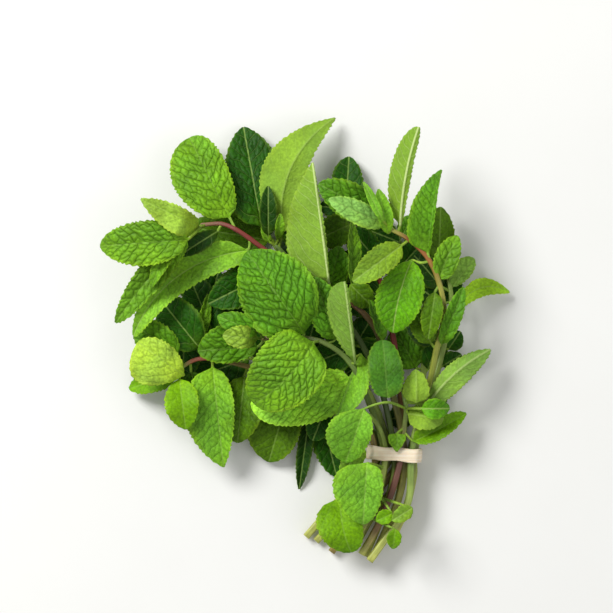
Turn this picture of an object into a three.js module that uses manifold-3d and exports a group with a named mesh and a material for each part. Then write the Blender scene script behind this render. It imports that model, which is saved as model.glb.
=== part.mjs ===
// A bunch of fresh mint, tied with one rubber band and lying on a table.
//
// Millimetres, +Z up. The bunch lies on the plane z = 0. The origin is the middle of the
// flat underside of the rubber band, +Y runs towards the leafy end and the cut ends of the
// stems point to -Y.
//
// The bunch is a heap: every sprig lies on the sprigs that were laid down before it. The
// sprigs are written down from the lowest to the highest, with the plan of each stem and
// leaf and its own natural height, and Heap then lifts each one clear of what it lies on.

import * as THREE from 'three';
import Module from 'manifold-3d';

// ---------------------------------------------------------------- driving dimensions

const bandWidth = 6.35;           // along the stems: a quarter inch rubber band
const bandThickness = 1.2;        // two turns of a thin band
const bandSlant = -4;             // degrees, the band sits a little askew on the stems

const stemRoll = 9;               // degrees, the square stems lie a little on edge
const stemReach = 0.57;           // of a stem's thickness, from its middle to its outside
const stemTipSize = 1.7;          // thickness of every stem at its growing tip
const stepsPerSpan = 2;           // rings between two points of a stem's route

const bladeThickness = 1.3;       // at the midrib
const rimThickness = 0.6;         // at the edge of a leaf
const petioleWidth = 1.5;
const teethPerSide = 5;           // on a large leaf
const notchDepth = 0.13;          // of the half width, between two teeth
const waveHeight = 0.035;         // of the width, the waving of a leaf's edge
const waveTurns = 2.2;

const stalkThickness = 1.2;
const rootRun = 7;                // mm over which a leaf leaves the height of its root
const pairStalk = 3.5;            // length of the petiole of a paired leaf

const layGap = 0.7;               // air between a leaf and what it lies on
const ownGap = 0.4;               // air between leaves of one sprig
const crowdReach = 11;            // mm from the stem within which its own leaves may touch
const stemGap = 0.4;              // air between two stems that cross
const crossingMargin = 0.8;       // beside each other, the nearest two stems pass level
const floorSink = 0.2;            // leaves on the table press a small flat on it
const leafBend = 0.014;           // 1/mm, how sharply a leaf may bend over what is under it
const leafDroop = 0.16;           // mm that a free leaf sinks for each mm from the stem
const stemBend = 0.0045;          // 1/mm, how sharply a stem may bend
const tiedReach = 12;             // mm from the band within which the stems keep their rows
const freeReach = 40;             // mm from the band beyond which they lie free

// ---------------------------------------------------------------- the sprigs
//
// stem: the route from the cut end to the growing tip, with the middle of the stem's
// height at each point. pairs: opposite leaves that follow from the stem alone.
// leaves: the others, from the lowest to the highest.
//
// on:   place on the stem, counted along the points of its route
// base, tip: the two ends of the midrib      wide: greatest width
// roll: turn about the midrib, 0 with the upper face up and 180 with the under face up
// fold: degrees that each half is raised     arch: rise of the middle of the midrib
// bow:  sideways bend of the midrib          via:  bend of a long petiole
// lean: how much wider the left half is than the right one, as a share of their mean
// foot, point: powers that blunt or draw out the two ends of the blade

const sprigs = [
  {
    name: 'sprig_01', size: 3.2,
    stem: [
      [-40, -38, 2.2], [-25, -21, 3], [-11.3, -8.5, 3.4], [-6.8, 0, 3.4], [-10, 10, 3.4],
      [-24, 16.5, 3.2],
      [-39, 23, 3], [-54, 36, 3], [-70, 49, 3], [-85, 62, 3], [-98, 74, 3],
    ],
    pairs: [{ on: 9, reach: 18 }],
    leaves: [
      { on: 5.6, base: [-32.5, 16, 2], tip: [-26, -11, 1], wide: 15, arch: 1 },
      { on: 6, base: [-38.5, 18, 3], tip: [-43.2, -16.5, 1], wide: 8, fold: 24, roll: -8 },
      { on: 5.8, base: [-35, 25, 3], tip: [-24, 36, 2], wide: 14 },
      { on: 7.5, base: [-66, 43, 3], tip: [-93, 34, 1], wide: 18, teeth: 3 },
      { on: 9.6, base: [-95, 64, 2], tip: [-96, 33, 1], wide: 19, teeth: 3 },
    ],
  },
  {
    name: 'sprig_02', size: 3.2,
    stem: [
      [-19.5, -42.5, 2.2], [-8, -26, 3.2], [4.8, -8.5, 3.4], [6.9, 0, 3.4], [11.5, 18, 3.4],
      [13.5, 38, 3], [13, 58, 3], [9, 79, 3], [2, 97, 3], [-5, 108, 3],
    ],
    pairs: [{ on: 7.2, reach: 16 }],
    leaves: [
      { on: 4.3, base: [14.5, 23, 2], tip: [25, 29, 1], wide: 11 },
      { on: 4, base: [8.5, 18, 0.8], tip: [-3, 15, 0.8], wide: 11, fold: 0, arch: 0, teeth: 2 },
      { on: 5, base: [10, 39, 3], tip: [0, 57, 2], wide: 18, teeth: 3 },
      { on: 4.9, base: [15.5, 38.5, 3], tip: [21, 54, 2], wide: 12 },
      { on: 6.6, base: [13.5, 69, 3], tip: [31, 78, 2], wide: 13 },
      { on: 7.5, base: [4, 86, 3], tip: [15, 98, 2], wide: 14 },
      { on: 8, base: [3.5, 99, 3], tip: [8.5, 108, 3], wide: 9, arch: 1 },
      { on: 9, base: [-7, 110, 3], tip: [-34, 112.5, 2], wide: 15 },
    ],
  },
  {
    name: 'sprig_03', size: 3.2,
    stem: [
      [-35.5, -40, 2.2], [-19, -23.5, 3.2], [-5.4, -8, 3.4], [-2.2, 0, 3.4], [-7, 18, 3.4],
      [-18, 40, 3], [-31, 61, 3], [-44, 79, 3], [-55, 96, 3], [-63, 110, 3],
    ],
    pairs: [{ on: 5.2, reach: 19 }, { on: 6.2, reach: 20 }],
    leaves: [
      { on: 7, base: [-41, 81, 3], tip: [-27, 89, 2], wide: 15 },
      { on: 7.2, base: [-48, 79, 3], tip: [-83, 65, 1], wide: 20, teeth: 3 },
      { on: 7.8, base: [-53.5, 98, 3], tip: [-37, 93, 2], wide: 18, teeth: 3 },
      { on: 8, base: [-57, 97, 3], tip: [-93, 103, 1], wide: 21, teeth: 3 },
      { on: 9, base: [-64, 112, 3], tip: [-66, 132, 2], wide: 15 },
    ],
  },
  {
    name: 'sprig_04', size: 3.2,
    stem: [
      [-28.5, -45, 2.2], [-14, -25.5, 3.2], [-0.3, -8, 3.4], [2.4, 0, 3.4], [3, 20, 3.4], [1, 43, 3],
      [-3, 65, 3], [-8.5, 85, 3], [-14, 100, 3], [-19, 109, 3],
    ],
    pairs: [{ on: 6, reach: 18 }],
    leaves: [
      { on: 5.3, base: [-4, 49, 3], tip: [-22, 36, 2], wide: 19, teeth: 3 },
      { on: 6.3, base: [-7, 72, 3], tip: [-21, 78, 2], wide: 14 },
      { on: 7.2, base: [-12, 87, 3], tip: [-30, 84, 2], wide: 15 },
      { on: 7.3, base: [-9, 89, 3], tip: [-20, 102, 2], wide: 15 },
      { on: 7.6, base: [-9, 95.5, 3], tip: [-3, 109, 3], wide: 11 },
      { on: 8.5, base: [-20, 104, 3], tip: [-35, 97, 2], wide: 16 },
      { on: 8, base: [-10.5, 101, 3], tip: [2, 96, 2], wide: 13 },
      { on: 9, base: [-22, 111, 4], tip: [-20.5, 135, 4], wide: 16 },
    ],
  },
  {
    name: 'sprig_05', size: 3.2,
    stem: [
      [-22, -41, 6.4], [-13.5, -25, 7.2], [-9.6, -10, 7.4], [-8.8, 0, 7.4], [-10.8, 9, 7.2],
      [-18, 18, 6], [-29, 25, 5], [-45, 31.5, 4], [-63, 38.5, 4], [-79, 42.5, 4], [-89, 43, 4],
      [-97, 39, 5],
    ],
    pairs: [],
    leaves: [
      { on: 4.1, base: [-14, 3.5, 6], tip: [-24.5, -9.5, 4], wide: 9.5, fold: 15, arch: 1 },
      { on: 7, base: [-48, 26.5, 2], tip: [-57, -4, 1], wide: 27, lean: -0.22 },
      { on: 6.1, base: [-31, 21.5, 3], tip: [-37, 6, 1], wide: 13 },
      { on: 7.1, base: [-43, 37, 2], tip: [-36, 60, 2], wide: 17 },
      { on: 8.2, base: [-68, 35, 2], tip: [-71, 5, 1], wide: 20 },
      { on: 8, base: [-62, 43, 3], tip: [-57, 64, 2], wide: 16 },
      { on: 9, base: [-80, 50, 3], tip: [-94, 83, 2], wide: 18 },
      { on: 10.4, base: [-92, 37, 3], tip: [-88, 18, 1], wide: 15 },
      { on: 9.3, base: [-82.2, 39.3, 4], tip: [-77.3, -6, 2], wide: 23.5, fold: 14, lean: -0.3,
        point: 0.75 },
      { on: 9.4, base: [-88.2, 52, 4], tip: [-84.2, 72.5, 6], wide: 7, roll: 35, fold: 20 },
      { on: 9.8, base: [-88, 48, 3], tip: [-107, 71.5, 1], wide: 20 },
      { on: 10.8, base: [-98, 45, 3], tip: [-117.8, 59, 2], wide: 17 },
      { on: 11, base: [-99, 36, 3], tip: [-120.5, 29.5, 1], wide: 13, roll: 20, fold: 14 },
      { on: 10.9, base: [-97, 34, 3], tip: [-94, 11.5, 1], wide: 16, fold: 14 },
      { on: 11, base: [-95, 35.8, 5], tip: [-115.5, 51, 3], wide: 23, fold: 8, lean: 0.3,
        foot: 0.8, point: 0.6 },
    ],
  },
  {
    name: 'sprig_06', size: 3.2,
    stem: [
      [-13, -46.6, 6.4], [-4.2, -25, 7.2], [-0.3, -10, 7.4], [0, 0, 7.4], [-3, 18, 7.2],
      [-9, 38, 5], [-20, 58, 4], [-33, 74, 4], [-45, 85.5, 4], [-54, 95, 5],
    ],
    pairs: [],
    leaves: [
      { on: 7, base: [-30, 72, 3], tip: [-25, 94, 3], wide: 15 },
      { on: 5.5, base: [-17.5, 49, 3], tip: [-37, 41, 2], wide: 17 },
      { on: 8.2, base: [-52, 84, 3], tip: [-84, 68, 1], wide: 20 },
      { on: 8, base: [-44, 91, 3], tip: [-42.5, 118, 3], wide: 16 },
      { on: 9, base: [-60, 103, 4], tip: [-68.5, 148.5, 4], wide: 27, fold: 8 },
      { on: 8.8, base: [-51, 100, 5], tip: [-26.8, 152.5, 7], wide: 20, roll: 180, fold: 4,
        bow: 8.5, lean: -0.2, point: 0.75 },
      { on: 9, base: [-57, 99, 6], tip: [-57, 121, 8], wide: 9, fold: 20 },
      { on: 8.95, base: [-52.5, 97, 7], tip: [-51.5, 108.5, 10], wide: 5, roll: 20, fold: 20, arch: 1 },
      { on: 8.9, base: [-56.5, 96, 7], tip: [-60, 102.5, 9], wide: 4, fold: 20, arch: 1 },
    ],
  },
  {
    name: 'sprig_07', size: 3.4,
    stem: [
      [-0.2, -37, 6.4], [5.2, -25, 7.2], [8.8, -10, 7.4], [9, 0, 7.4], [13.5, 18, 7],
      [18.5, 34, 5], [22.5, 49.5, 4], [25.5, 63, 4], [25.5, 74.5, 4], [23, 84, 4],
    ],
    pairs: [],
    leaves: [
      { on: 5.3, base: [22, 40, 3], tip: [30.5, 45, 2], wide: 9, arch: 1 },
      { on: 5.9, base: [24.5, 47.5, 3], tip: [30, 55.5, 2], wide: 9, arch: 1 },
      { on: 6.1, base: [19, 51, 3], tip: [6, 61, 2], wide: 14 },
      { on: 7.1, base: [29, 66.5, 4], tip: [52.5, 73.5, 3], wide: 9.5, fold: 24, bow: 5.5 },
      { on: 7.5, base: [21.5, 68, 3], tip: [10.5, 76, 3], wide: 11 },
      { on: 7.9, base: [21, 76, 3], tip: [9, 90, 3], wide: 13 },
      { on: 8.2, base: [26.5, 76, 4], tip: [36.2, 88.7, 6], wide: 9.5, lean: 0.25, point: 0.45 },
      { on: 9, base: [20, 88, 4], tip: [21, 112, 6], wide: 14 },
    ],
  },
  {
    name: 'sprig_08', size: 3.4,
    stem: [
      [-8.5, -45, 6.4], [0.4, -25, 7.2], [4.2, -10, 7.4], [4.5, 0, 7.4], [3, 12, 7.4], [0, 24, 7],
      [-3.5, 38, 6], [-7.5, 54, 6], [-16, 65.5, 6], [-29.5, 74, 6], [-45, 82.5, 6], [-59.5, 93, 6],
      [-70, 100.5, 7], [-78, 104, 7], [-87, 103.5, 8],
    ],
    pairs: [],
    leaves: [
      { on: 7, base: [-5.5, 51.5, 6], tip: [-11.5, 70, 7], wide: 9, roll: 45, fold: 20, arch: 1 },
      { on: 8.5, base: [-19, 77, 6], tip: [-19.5, 105.5, 8], wide: 9.5, roll: 45, fold: 18, arch: 1 },
      { on: 9, base: [-29.6, 77, 6], tip: [-37.1, 131.3, 9], wide: 21, roll: 168, fold: 18, lean: -0.88,
        point: 0.95 },
      { on: 8.3, base: [-20, 76.5, 8.5], tip: [-10.5, 67, 8.5], wide: 11.5 },
      { on: 11.5, base: [-66.5, 92, 5], tip: [-117.6, 53.5, 2], wide: 17.5, fold: 20, bow: -9.5,
        foot: 0.3, point: 0.55 },
      { on: 12.2, base: [-74.5, 107, 7], tip: [-92.8, 143.2, 7], wide: 26.2, fold: 8, lean: 0.22,
        point: 0.42 },
      { on: 13, base: [-80, 100.5, 4], tip: [-97, 89.5, 2], wide: 8.5 },
      { on: 13.8, base: [-93.5, 98, 5], tip: [-125.5, 59.5, 1], wide: 14, roll: -8, fold: 15, bow: -1 },
      { on: 13.9, base: [-95.5, 98, 6], tip: [-109, 75.3, 3], wide: 8.5, roll: 15, fold: 20, bow: -1.5 },
      { on: 13.9, base: [-92.8, 96.5, 7], tip: [-132.3, 93.8, 4], wide: 21, fold: 9 },
      { on: 14, base: [-88.5, 102.5, 8], tip: [-113.6, 114.7, 9], wide: 13.4, fold: 24, lean: 0.21,
        foot: 0.3, point: 0.7 },
    ],
  },
  {
    name: 'sprig_09', size: 3.2,
    stem: [
      [-18, -42.5, 6.4], [-8.8, -25, 7.2], [-5, -10, 7.4], [-4.5, 0, 7.4], [-8, 14, 7.6],
      [-13.5, 28, 8], [-18.5, 39, 7], [-26, 47, 6], [-36, 52, 6], [-48, 53, 5], [-60, 52.5, 5],
    ],
    pairs: [],
    leaves: [
      { on: 5.8, base: [-20, 34, 4], tip: [-65, 22, 2], wide: 24, lean: 0.3, foot: 0.4, point: 0.5 },
      { on: 7.5, base: [-27, 52, 4], tip: [-36, 80, 3], wide: 16 },
      { on: 6.3, base: [-18, 41.5, 6], tip: [-23, 78, 8], wide: 12.5, roll: 168, fold: 18, lean: -0.75,
        foot: 0.9, point: 0.45 },
      { on: 6.3, base: [-15.5, 45.5, 7], tip: [-26.2, 17, 7], wide: 12, roll: 25, fold: 14, lean: 0.8 },
      { on: 8.5, base: [-41, 55, 6], tip: [-66.5, 91.5, 5], wide: 35, fold: 8, arch: 4 },
      { on: 7.8, base: [-37, 50.5, 6.5], tip: [-63.3, 23.2, 4], wide: 31.6, fold: 6, arch: 4, bow: 2.5,
        lean: -0.1, foot: 0.3, point: 0.42 },
      { on: 9.8, base: [-62, 48.5, 4], tip: [-88.8, 46.8, 2], wide: 19, lean: -0.28 },
      { on: 9.9, base: [-61.5, 55.5, 5], tip: [-79.5, 62.5, 4], wide: 11 },
      { on: 10, base: [-62, 52.5, 6], tip: [-77, 54, 7], wide: 11 },
    ],
  },
  {
    name: 'sprig_10', size: 3.4,
    stem: [
      [-11.3, -48.4, 10.6], [-4.5, -39, 11], [2.6, -29, 11.4], [6.8, -19, 11.7], [7.6, 0, 11.7],
      [10.4, 14, 12], [15.8, 33, 10], [18.6, 47.5, 8], [21.8, 63, 7], [19.6, 76.5, 7],
      [14.5, 88, 7], [6, 96.5, 7], [-2.7, 101.5, 7],
    ],
    pairs: [],
    leaves: [
      { on: 7, base: [20.5, 50, 7], tip: [30.5, 75.5, 8], wide: 9.5, roll: 12, fold: 22 },
      { on: 7, base: [16, 50.5, 6], tip: [8, 66, 4], wide: 12 },
      { on: 9, base: [17.5, 73, 6], tip: [14.5, 52, 4], wide: 10 },
      { on: 9.2, base: [19.5, 79, 7], tip: [27.5, 98.5, 9], wide: 12, bow: 0.5 },
      { on: 9.9, base: [7.2, 87.5, 8], tip: [-1.2, 55, 5], wide: 21.5, roll: -5, fold: 12, arch: 3,
        bow: -1.5, foot: 0.65, via: [11, 86.3, 8.5] },
      { on: 9.8, base: [14.2, 91, 7], tip: [20.6, 128, 11], wide: 13.5, roll: -30, fold: 30, bow: 1,
        lean: 0.6, foot: 0.35, point: 0.75 },
      { on: 11, base: [2.5, 94, 6], tip: [-19.3, 77.8, 3], wide: 13.5 },
      { on: 11.6, base: [2, 103.2, 8], tip: [10.3, 147, 14], wide: 11, roll: 168, fold: 16, bow: 1.8,
        lean: -0.5, point: 0.45 },
      { on: 11.7, base: [-6.5, 106.5, 5], tip: [-34.5, 121.5, 4], wide: 17 },
      { on: 11.8, base: [-5, 103, 7], tip: [-30, 114.5, 6], wide: 11, fold: 16 },
      { on: 11.9, base: [-3.5, 99.5, 7], tip: [-8, 119, 12], wide: 8, roll: 15, fold: 24, arch: 1 },
      { on: 12, base: [-6, 105, 8], tip: [-14.5, 122, 9], wide: 4.5, fold: 20, arch: 1 },
    ],
  },
  {
    name: 'sprig_11', size: 3.2,
    stem: [
      [-15, -45.4, 10.4], [-8.4, -34, 11], [-1.6, -18, 11.7], [2.4, -4, 11.7], [3, 3, 11.7],
      [4.4, 12, 12.6], [5, 21, 15], [3.2, 30, 17],
    ],
    pairs: [],
    leaves: [
      { on: 4.8, base: [8.5, 6, 13], tip: [32.5, 18.5, 15], wide: 11.5, roll: -14, fold: 28, arch: 0,
        bow: -0.5 },
      { on: 5, base: [1, 9.4, 15], tip: [0.9, 1.3, 16.6], wide: 8.3, arch: 0.5, foot: 0.2, point: 0.75 },
      { on: 6, base: [-14.2, 21, 15], tip: [-22.4, -3.6, 8], wide: 20.8, roll: -5, fold: 8, arch: 3,
        lean: -0.26, foot: 0.6, via: [-4, 24, 18] },
      { on: 6, base: [6, 18.5, 14], tip: [21.8, 16.2, 13], wide: 12.5, roll: 160, fold: 18, foot: 0.35,
        point: 0.42 },
      { on: 6.3, base: [15, 23, 14], tip: [43.2, 47.4, 16], wide: 12, roll: 170, fold: 16, bow: 2.6,
        lean: 0.15 },
      { on: 6, base: [12, 21, 12], tip: [24.5, 21, 8], wide: 10 },
      { on: 6.4, base: [9.5, 24, 16], tip: [9.2, 38.5, 17], wide: 12.5, roll: 180, fold: 5, foot: 0.35 },
      { on: 7, base: [-3.5, 26, 15], tip: [-5.7, 51.8, 15], wide: 16.5, fold: 3, foot: 0.4, point: 0.45 },
    ],
  },
  {
    name: 'sprig_12', size: 3,
    stem: [
      [-18.8, -41, 10.4], [-13.2, -31, 11], [-7, -16, 11.7], [-4, 0, 11.7], [-6.5, 11, 12],
      [-11.5, 18, 13],
    ],
    pairs: [],
    leaves: [
      { on: 1.4, base: [-24.5, -20, 10], tip: [-19.5, -44.3, 6], wide: 21.5, fold: 5, arch: 3, bow: -1.5,
        lean: -0.1, foot: 0.35, point: 0.5 },
      { on: 2.6, base: [-12.7, -3.5, 14], tip: [-14.4, -31.3, 12], wide: 23.5, fold: 8, arch: 4,
        lean: -0.26, foot: 0.4 },
      { on: 1.9, base: [-1.5, -26, 12], tip: [-8.5, -29.5, 12], wide: 7, arch: 1 },
      { on: 1.8, base: [7.5, -23.5, 14.5], tip: [-1.5, -29, 15], wide: 7.5, arch: 1 },
      { on: 1.2, base: [0, -33, 7], tip: [-1, -42, 4], wide: 7, arch: 1 },
    ],
  },
];

// ---------------------------------------------------------------- small helpers

const radians = THREE.MathUtils.degToRad;
const vector = (point) => new THREE.Vector3(...point);
const upwards = new THREE.Vector3(0, 0, 1);

// The same draws come in the same order every time.
let seed = 20;
function draw(low, high) {
  seed = (seed * 16807) % 2147483647;
  return low + (high - low) * (seed / 2147483647);
}

// Level direction to the left of a direction seen from above.
function leftOf(direction) {
  return new THREE.Vector3(-direction.y, direction.x, 0).normalize();
}

// A closed body from its corners and the triangles between them.
function bodyFrom(corners, triangles) {
  const geometry = new THREE.BufferGeometry();
  geometry.setAttribute('position', new THREE.Float32BufferAttribute(corners.flat(), 3));
  geometry.setIndex(triangles);
  return geometry;
}

// ---------------------------------------------------------------- stems

function stemRoute(sprig) {
  return new THREE.CatmullRomCurve3(sprig.stem.map(vector), false, 'catmullrom', 0.5);
}

// The point at a place counted along the points of the route.
function placeOn(route, on) {
  return route.getPoint(Math.min(1, Math.max(0, on / (route.points.length - 1))));
}

function directionOn(route, on) {
  return placeOn(route, on + 0.05).sub(placeOn(route, on - 0.05)).normalize();
}

// Rings of four corners along the route, before any lift.
function stemRings(sprig, route) {
  const spans = route.points.length - 1;
  const count = spans * stepsPerSpan;
  const rings = [];
  for (let k = 0; k <= count; k += 1) {
    const on = k / stepsPerSpan;
    const middle = placeOn(route, on);
    const side = leftOf(directionOn(route, on));
    const size = sprig.size + (stemTipSize - sprig.size) * (k / count) ** 1.5;
    const corners = [0, 1, 2, 3].map((corner) => {
      const turn = radians(45 + stemRoll + 90 * corner);
      return middle.clone()
        .addScaledVector(side, Math.cos(turn) * size * Math.SQRT1_2)
        .addScaledVector(upwards, Math.sin(turn) * size * Math.SQRT1_2);
    });
    rings.push({ on, middle, side, size, corners });
  }
  return rings;
}

function stemBody(rings, lifts) {
  const corners = [];
  const triangles = [];
  rings.forEach((ring, k) => {
    ring.corners.forEach((corner) => corners.push([corner.x, corner.y, corner.z + lifts[k]]));
    if (k === 0) return;
    for (let side = 0; side < 4; side += 1) {
      const a = (k - 1) * 4 + side;
      const b = (k - 1) * 4 + (side + 1) % 4;
      triangles.push(a, b, b + 4, a, b + 4, a + 4);
    }
  });
  const last = (rings.length - 1) * 4;
  triangles.push(0, 3, 2, 0, 2, 1);
  triangles.push(last, last + 1, last + 2, last, last + 2, last + 3);
  return bodyFrom(corners, triangles);
}

// ---------------------------------------------------------------- leaves

// Half width of a leaf along its midrib, 1 where it is widest: broad near the base.
function outline(s, leaf) {
  const foot = leaf.foot ?? 0.5;
  const point = leaf.point ?? 0.62;
  const widest = foot / (foot + point);
  return s ** foot * (1 - s) ** point / (widest ** foot * (1 - widest) ** point);
}

// Places along the midrib where the edge has a notch or the point of a tooth.
function edgePlaces(teeth) {
  const places = [{ s: 0, reach: 0 }];
  for (let tooth = 0; tooth < teeth; tooth += 1) {
    places.push({ s: (tooth + 0.35) / (teeth + 0.25), reach: 1 - notchDepth });
    places.push({ s: (tooth + 0.9) / (teeth + 0.25), reach: 1 });
  }
  places.push({ s: 1, reach: 0 });
  return places;
}

// Small leaves have fewer teeth.
function teethFor(width) {
  if (width > 20) return teethPerSide;
  if (width > 17) return teethPerSide - 1;
  return width > 10 ? teethPerSide - 2 : teethPerSide - 3;
}

// Stations across a leaf from its root in the stem to its tip, before any lift.
function leafStations(leaf, root, number) {
  const base = vector(leaf.base);
  const tip = vector(leaf.tip);
  const along = tip.clone().sub(base);
  const length = along.length();
  along.normalize();
  const roll = radians(leaf.roll ?? 0);
  const level = leftOf(along);
  const upright = new THREE.Vector3().crossVectors(along, level);
  const side = level.clone().multiplyScalar(Math.cos(roll))
    .addScaledVector(upright, Math.sin(roll));
  const up = new THREE.Vector3().crossVectors(along, side);
  const fold = radians(leaf.fold ?? 12);
  const arch = leaf.arch ?? 2;
  const bow = leaf.bow ?? 0;
  const lean = leaf.lean ?? 0;
  const turned = Math.abs(leaf.roll ?? 0) > 90 ? -1 : 1;

  const stations = [];
  const stalk = [root, ...(leaf.via ? [vector(leaf.via)] : []), base];
  for (let k = 0; k < stalk.length - 1; k += 1) {
    const from = stalk[Math.max(0, k - 1)];
    const across = leftOf(stalk[k + 1].clone().sub(from)).multiplyScalar(turned);
    const half = across.clone().multiplyScalar(petioleWidth / 2);
    stations.push({
      middle: stalk[k].clone(),
      left: stalk[k].clone().add(half),
      right: stalk[k].clone().sub(half),
      up: upwards.clone().multiplyScalar(turned),
      rim: stalkThickness,
    });
  }
  edgePlaces(leaf.teeth ?? teethFor(leaf.wide)).forEach(({ s, reach }) => {
    const rise = 4 * s * (1 - s);
    const middle = base.clone().addScaledVector(along, length * s)
      .addScaledVector(upwards, arch * rise).addScaledVector(level, bow * rise);
    const shape = outline(s, leaf);
    const wave = waveHeight * leaf.wide * shape;
    const edge = (sign) => {
      const wide = leaf.wide / 2 * (1 + sign * lean) * shape * reach;
      const half = Math.max(petioleWidth / 2, wide);
      return middle.clone()
        .addScaledVector(side, sign * half * Math.cos(fold))
        .addScaledVector(up, half * Math.sin(fold)
          + wave * Math.sin(2 * Math.PI * waveTurns * s + number + sign));
    };
    stations.push({ middle, left: edge(1), right: edge(-1), up, rim: rimThickness });
  });
  return stations;
}

// Distance of each station from the root, measured level.
function reaches(stations) {
  const out = [0];
  for (let k = 1; k < stations.length; k += 1) {
    const a = stations[k - 1].middle;
    const b = stations[k].middle;
    out.push(out[k - 1] + Math.hypot(b.x - a.x, b.y - a.y));
  }
  return out;
}

function leafBody(stations, lifts) {
  const corners = [];
  const triangles = [];
  const add = (point, up, offset, lift) => {
    const z = point.z + up.z * offset + lift;
    corners.push([point.x + up.x * offset, point.y + up.y * offset, Math.max(0, z)]);
  };
  stations.forEach(({ left, middle, right, up, rim }, k) => {
    add(left, up, rim / 2, lifts[k]);
    add(middle, up, bladeThickness / 2, lifts[k]);
    add(right, up, rim / 2, lifts[k]);
    add(right, up, -rim / 2, lifts[k]);
    add(middle, up, -bladeThickness / 2, lifts[k]);
    add(left, up, -rim / 2, lifts[k]);
    if (k === 0) return;
    const a = (k - 1) * 6;
    const b = k * 6;
    // Both faces are split along matching diagonals.
    triangles.push(a, a + 1, b, a + 1, b + 1, b);
    triangles.push(a + 1, a + 2, b + 2, a + 1, b + 2, b + 1);
    triangles.push(a + 5, b + 5, a + 4, a + 4, b + 5, b + 4);
    triangles.push(a + 4, b + 3, a + 3, a + 4, b + 4, b + 3);
    triangles.push(a + 2, a + 3, b + 3, a + 2, b + 3, b + 2);
    triangles.push(a + 5, a, b, a + 5, b, b + 5);
  });
  const last = (stations.length - 1) * 6;
  const cap = [0, 5, 1, 1, 5, 4, 1, 4, 2, 2, 4, 3];
  triangles.push(...cap);
  for (let k = 0; k < cap.length; k += 3) {
    triangles.push(last + cap[k], last + cap[k + 2], last + cap[k + 1]);
  }
  return bodyFrom(corners, triangles);
}

// One of a pair of opposite leaves: it points forwards and out, and lies low.
function pairLeaf(route, on, reach, sign) {
  const root = placeOn(route, on);
  const forwards = directionOn(route, on);
  const turn = sign * radians(draw(48, 72));
  const out = new THREE.Vector3(forwards.x, forwards.y, 0).normalize().applyAxisAngle(upwards, turn);
  const length = reach * draw(0.9, 1.12);
  const base = root.clone().addScaledVector(out, pairStalk);
  const tip = base.clone().addScaledVector(out, length);
  return {
    on,
    base: [base.x, base.y, root.z],
    tip: [tip.x, tip.y, draw(1, 3.5)],
    wide: length * draw(0.56, 0.68),
    roll: draw(-10, 10),
    fold: draw(5, 12),
    arch: draw(0.5, 2.5),
    teeth: 2,
  };
}

// ---------------------------------------------------------------- the heap

// A map of the height of everything laid down so far, in small squares of the table.
const cellSize = 1.5;
const mapCorner = { x: -150, y: -65 };
const columns = 150;
const rows = 160;
const nothing = -100;             // a height below everything
const sampleStep = 0.7;           // mm between the points at which leaves are measured
const samplesPerRing = 8;         // points measured between two rings of a stem

class Heap {
  constructor() {
    this.top = new Float64Array(columns * rows).fill(nothing);
  }

  cell(x, y) {
    const row = Math.floor((y - mapCorner.y) / cellSize);
    return row * columns + Math.floor((x - mapCorner.x) / cellSize);
  }

  add(x, y, z) {
    const at = this.cell(x, y);
    this.top[at] = Math.max(this.top[at], z);
  }

  // The highest of the square under a point and its eight neighbours.
  under(x, y) {
    const at = this.cell(x, y);
    let highest = nothing;
    for (let row = -columns; row <= columns; row += columns) {
      for (let column = -1; column <= 1; column += 1) {
        highest = Math.max(highest, this.top[at + row + column]);
      }
    }
    return highest;
  }
}

// Visits points spread over a leaf, with the two stations on either side of each.
function overLeaf(stations, visit) {
  for (let k = 1; k < stations.length; k += 1) {
    const a = stations[k - 1];
    const b = stations[k];
    const steps = Math.max(1, Math.ceil(a.middle.distanceTo(b.middle) / sampleStep));
    ['left', 'right'].forEach((edge) => {
      const width = Math.max(a.middle.distanceTo(a[edge]), b.middle.distanceTo(b[edge]));
      const across = Math.max(1, Math.ceil(width / sampleStep));
      for (let i = 0; i <= steps; i += 1) {
        const middle = a.middle.clone().lerp(b.middle, i / steps);
        const rim = a[edge].clone().lerp(b[edge], i / steps);
        for (let j = 0; j <= across; j += 1) {
          const thick = bladeThickness + (rimThickness - bladeThickness) * j / across;
          visit(middle.clone().lerp(rim, j / across), thick / 2, k, i / steps);
        }
      }
    });
  }
}

// The smallest smooth lift that is nowhere less than what is needed. Where nothing is
// needed, it sinks by the droop with the distance from the root.
function drape(needs, distances, bend, droop) {
  return distances.map((here) => needs.reduce((most, need, j) => (
    Math.max(most, need - bend * (here - distances[j]) ** 2)), -droop * here));
}

// How far each station of a leaf has to rise to lie on a heap and on the table, and far
// from its root on its own sprig too.
function leafNeeds(stations, heap, ownSprig, root) {
  const needs = stations.map(() => nothing);
  overLeaf(stations, (point, half, k) => {
    let ground = Math.max(-floorSink, heap.under(point.x, point.y) + layGap);
    if (ownSprig && Math.hypot(point.x - root.x, point.y - root.y) > crowdReach) {
      ground = Math.max(ground, ownSprig.under(point.x, point.y) + ownGap);
    }
    const need = ground + half - point.z;
    needs[k - 1] = Math.max(needs[k - 1], need);
    needs[k] = Math.max(needs[k], need);
  });
  return needs;
}

// Above the band the stems leave their rows; below it they keep them to the cut ends.
function isFree(point) {
  return point.y > 0 && Math.hypot(point.x, point.y) > tiedReach;
}

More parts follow.
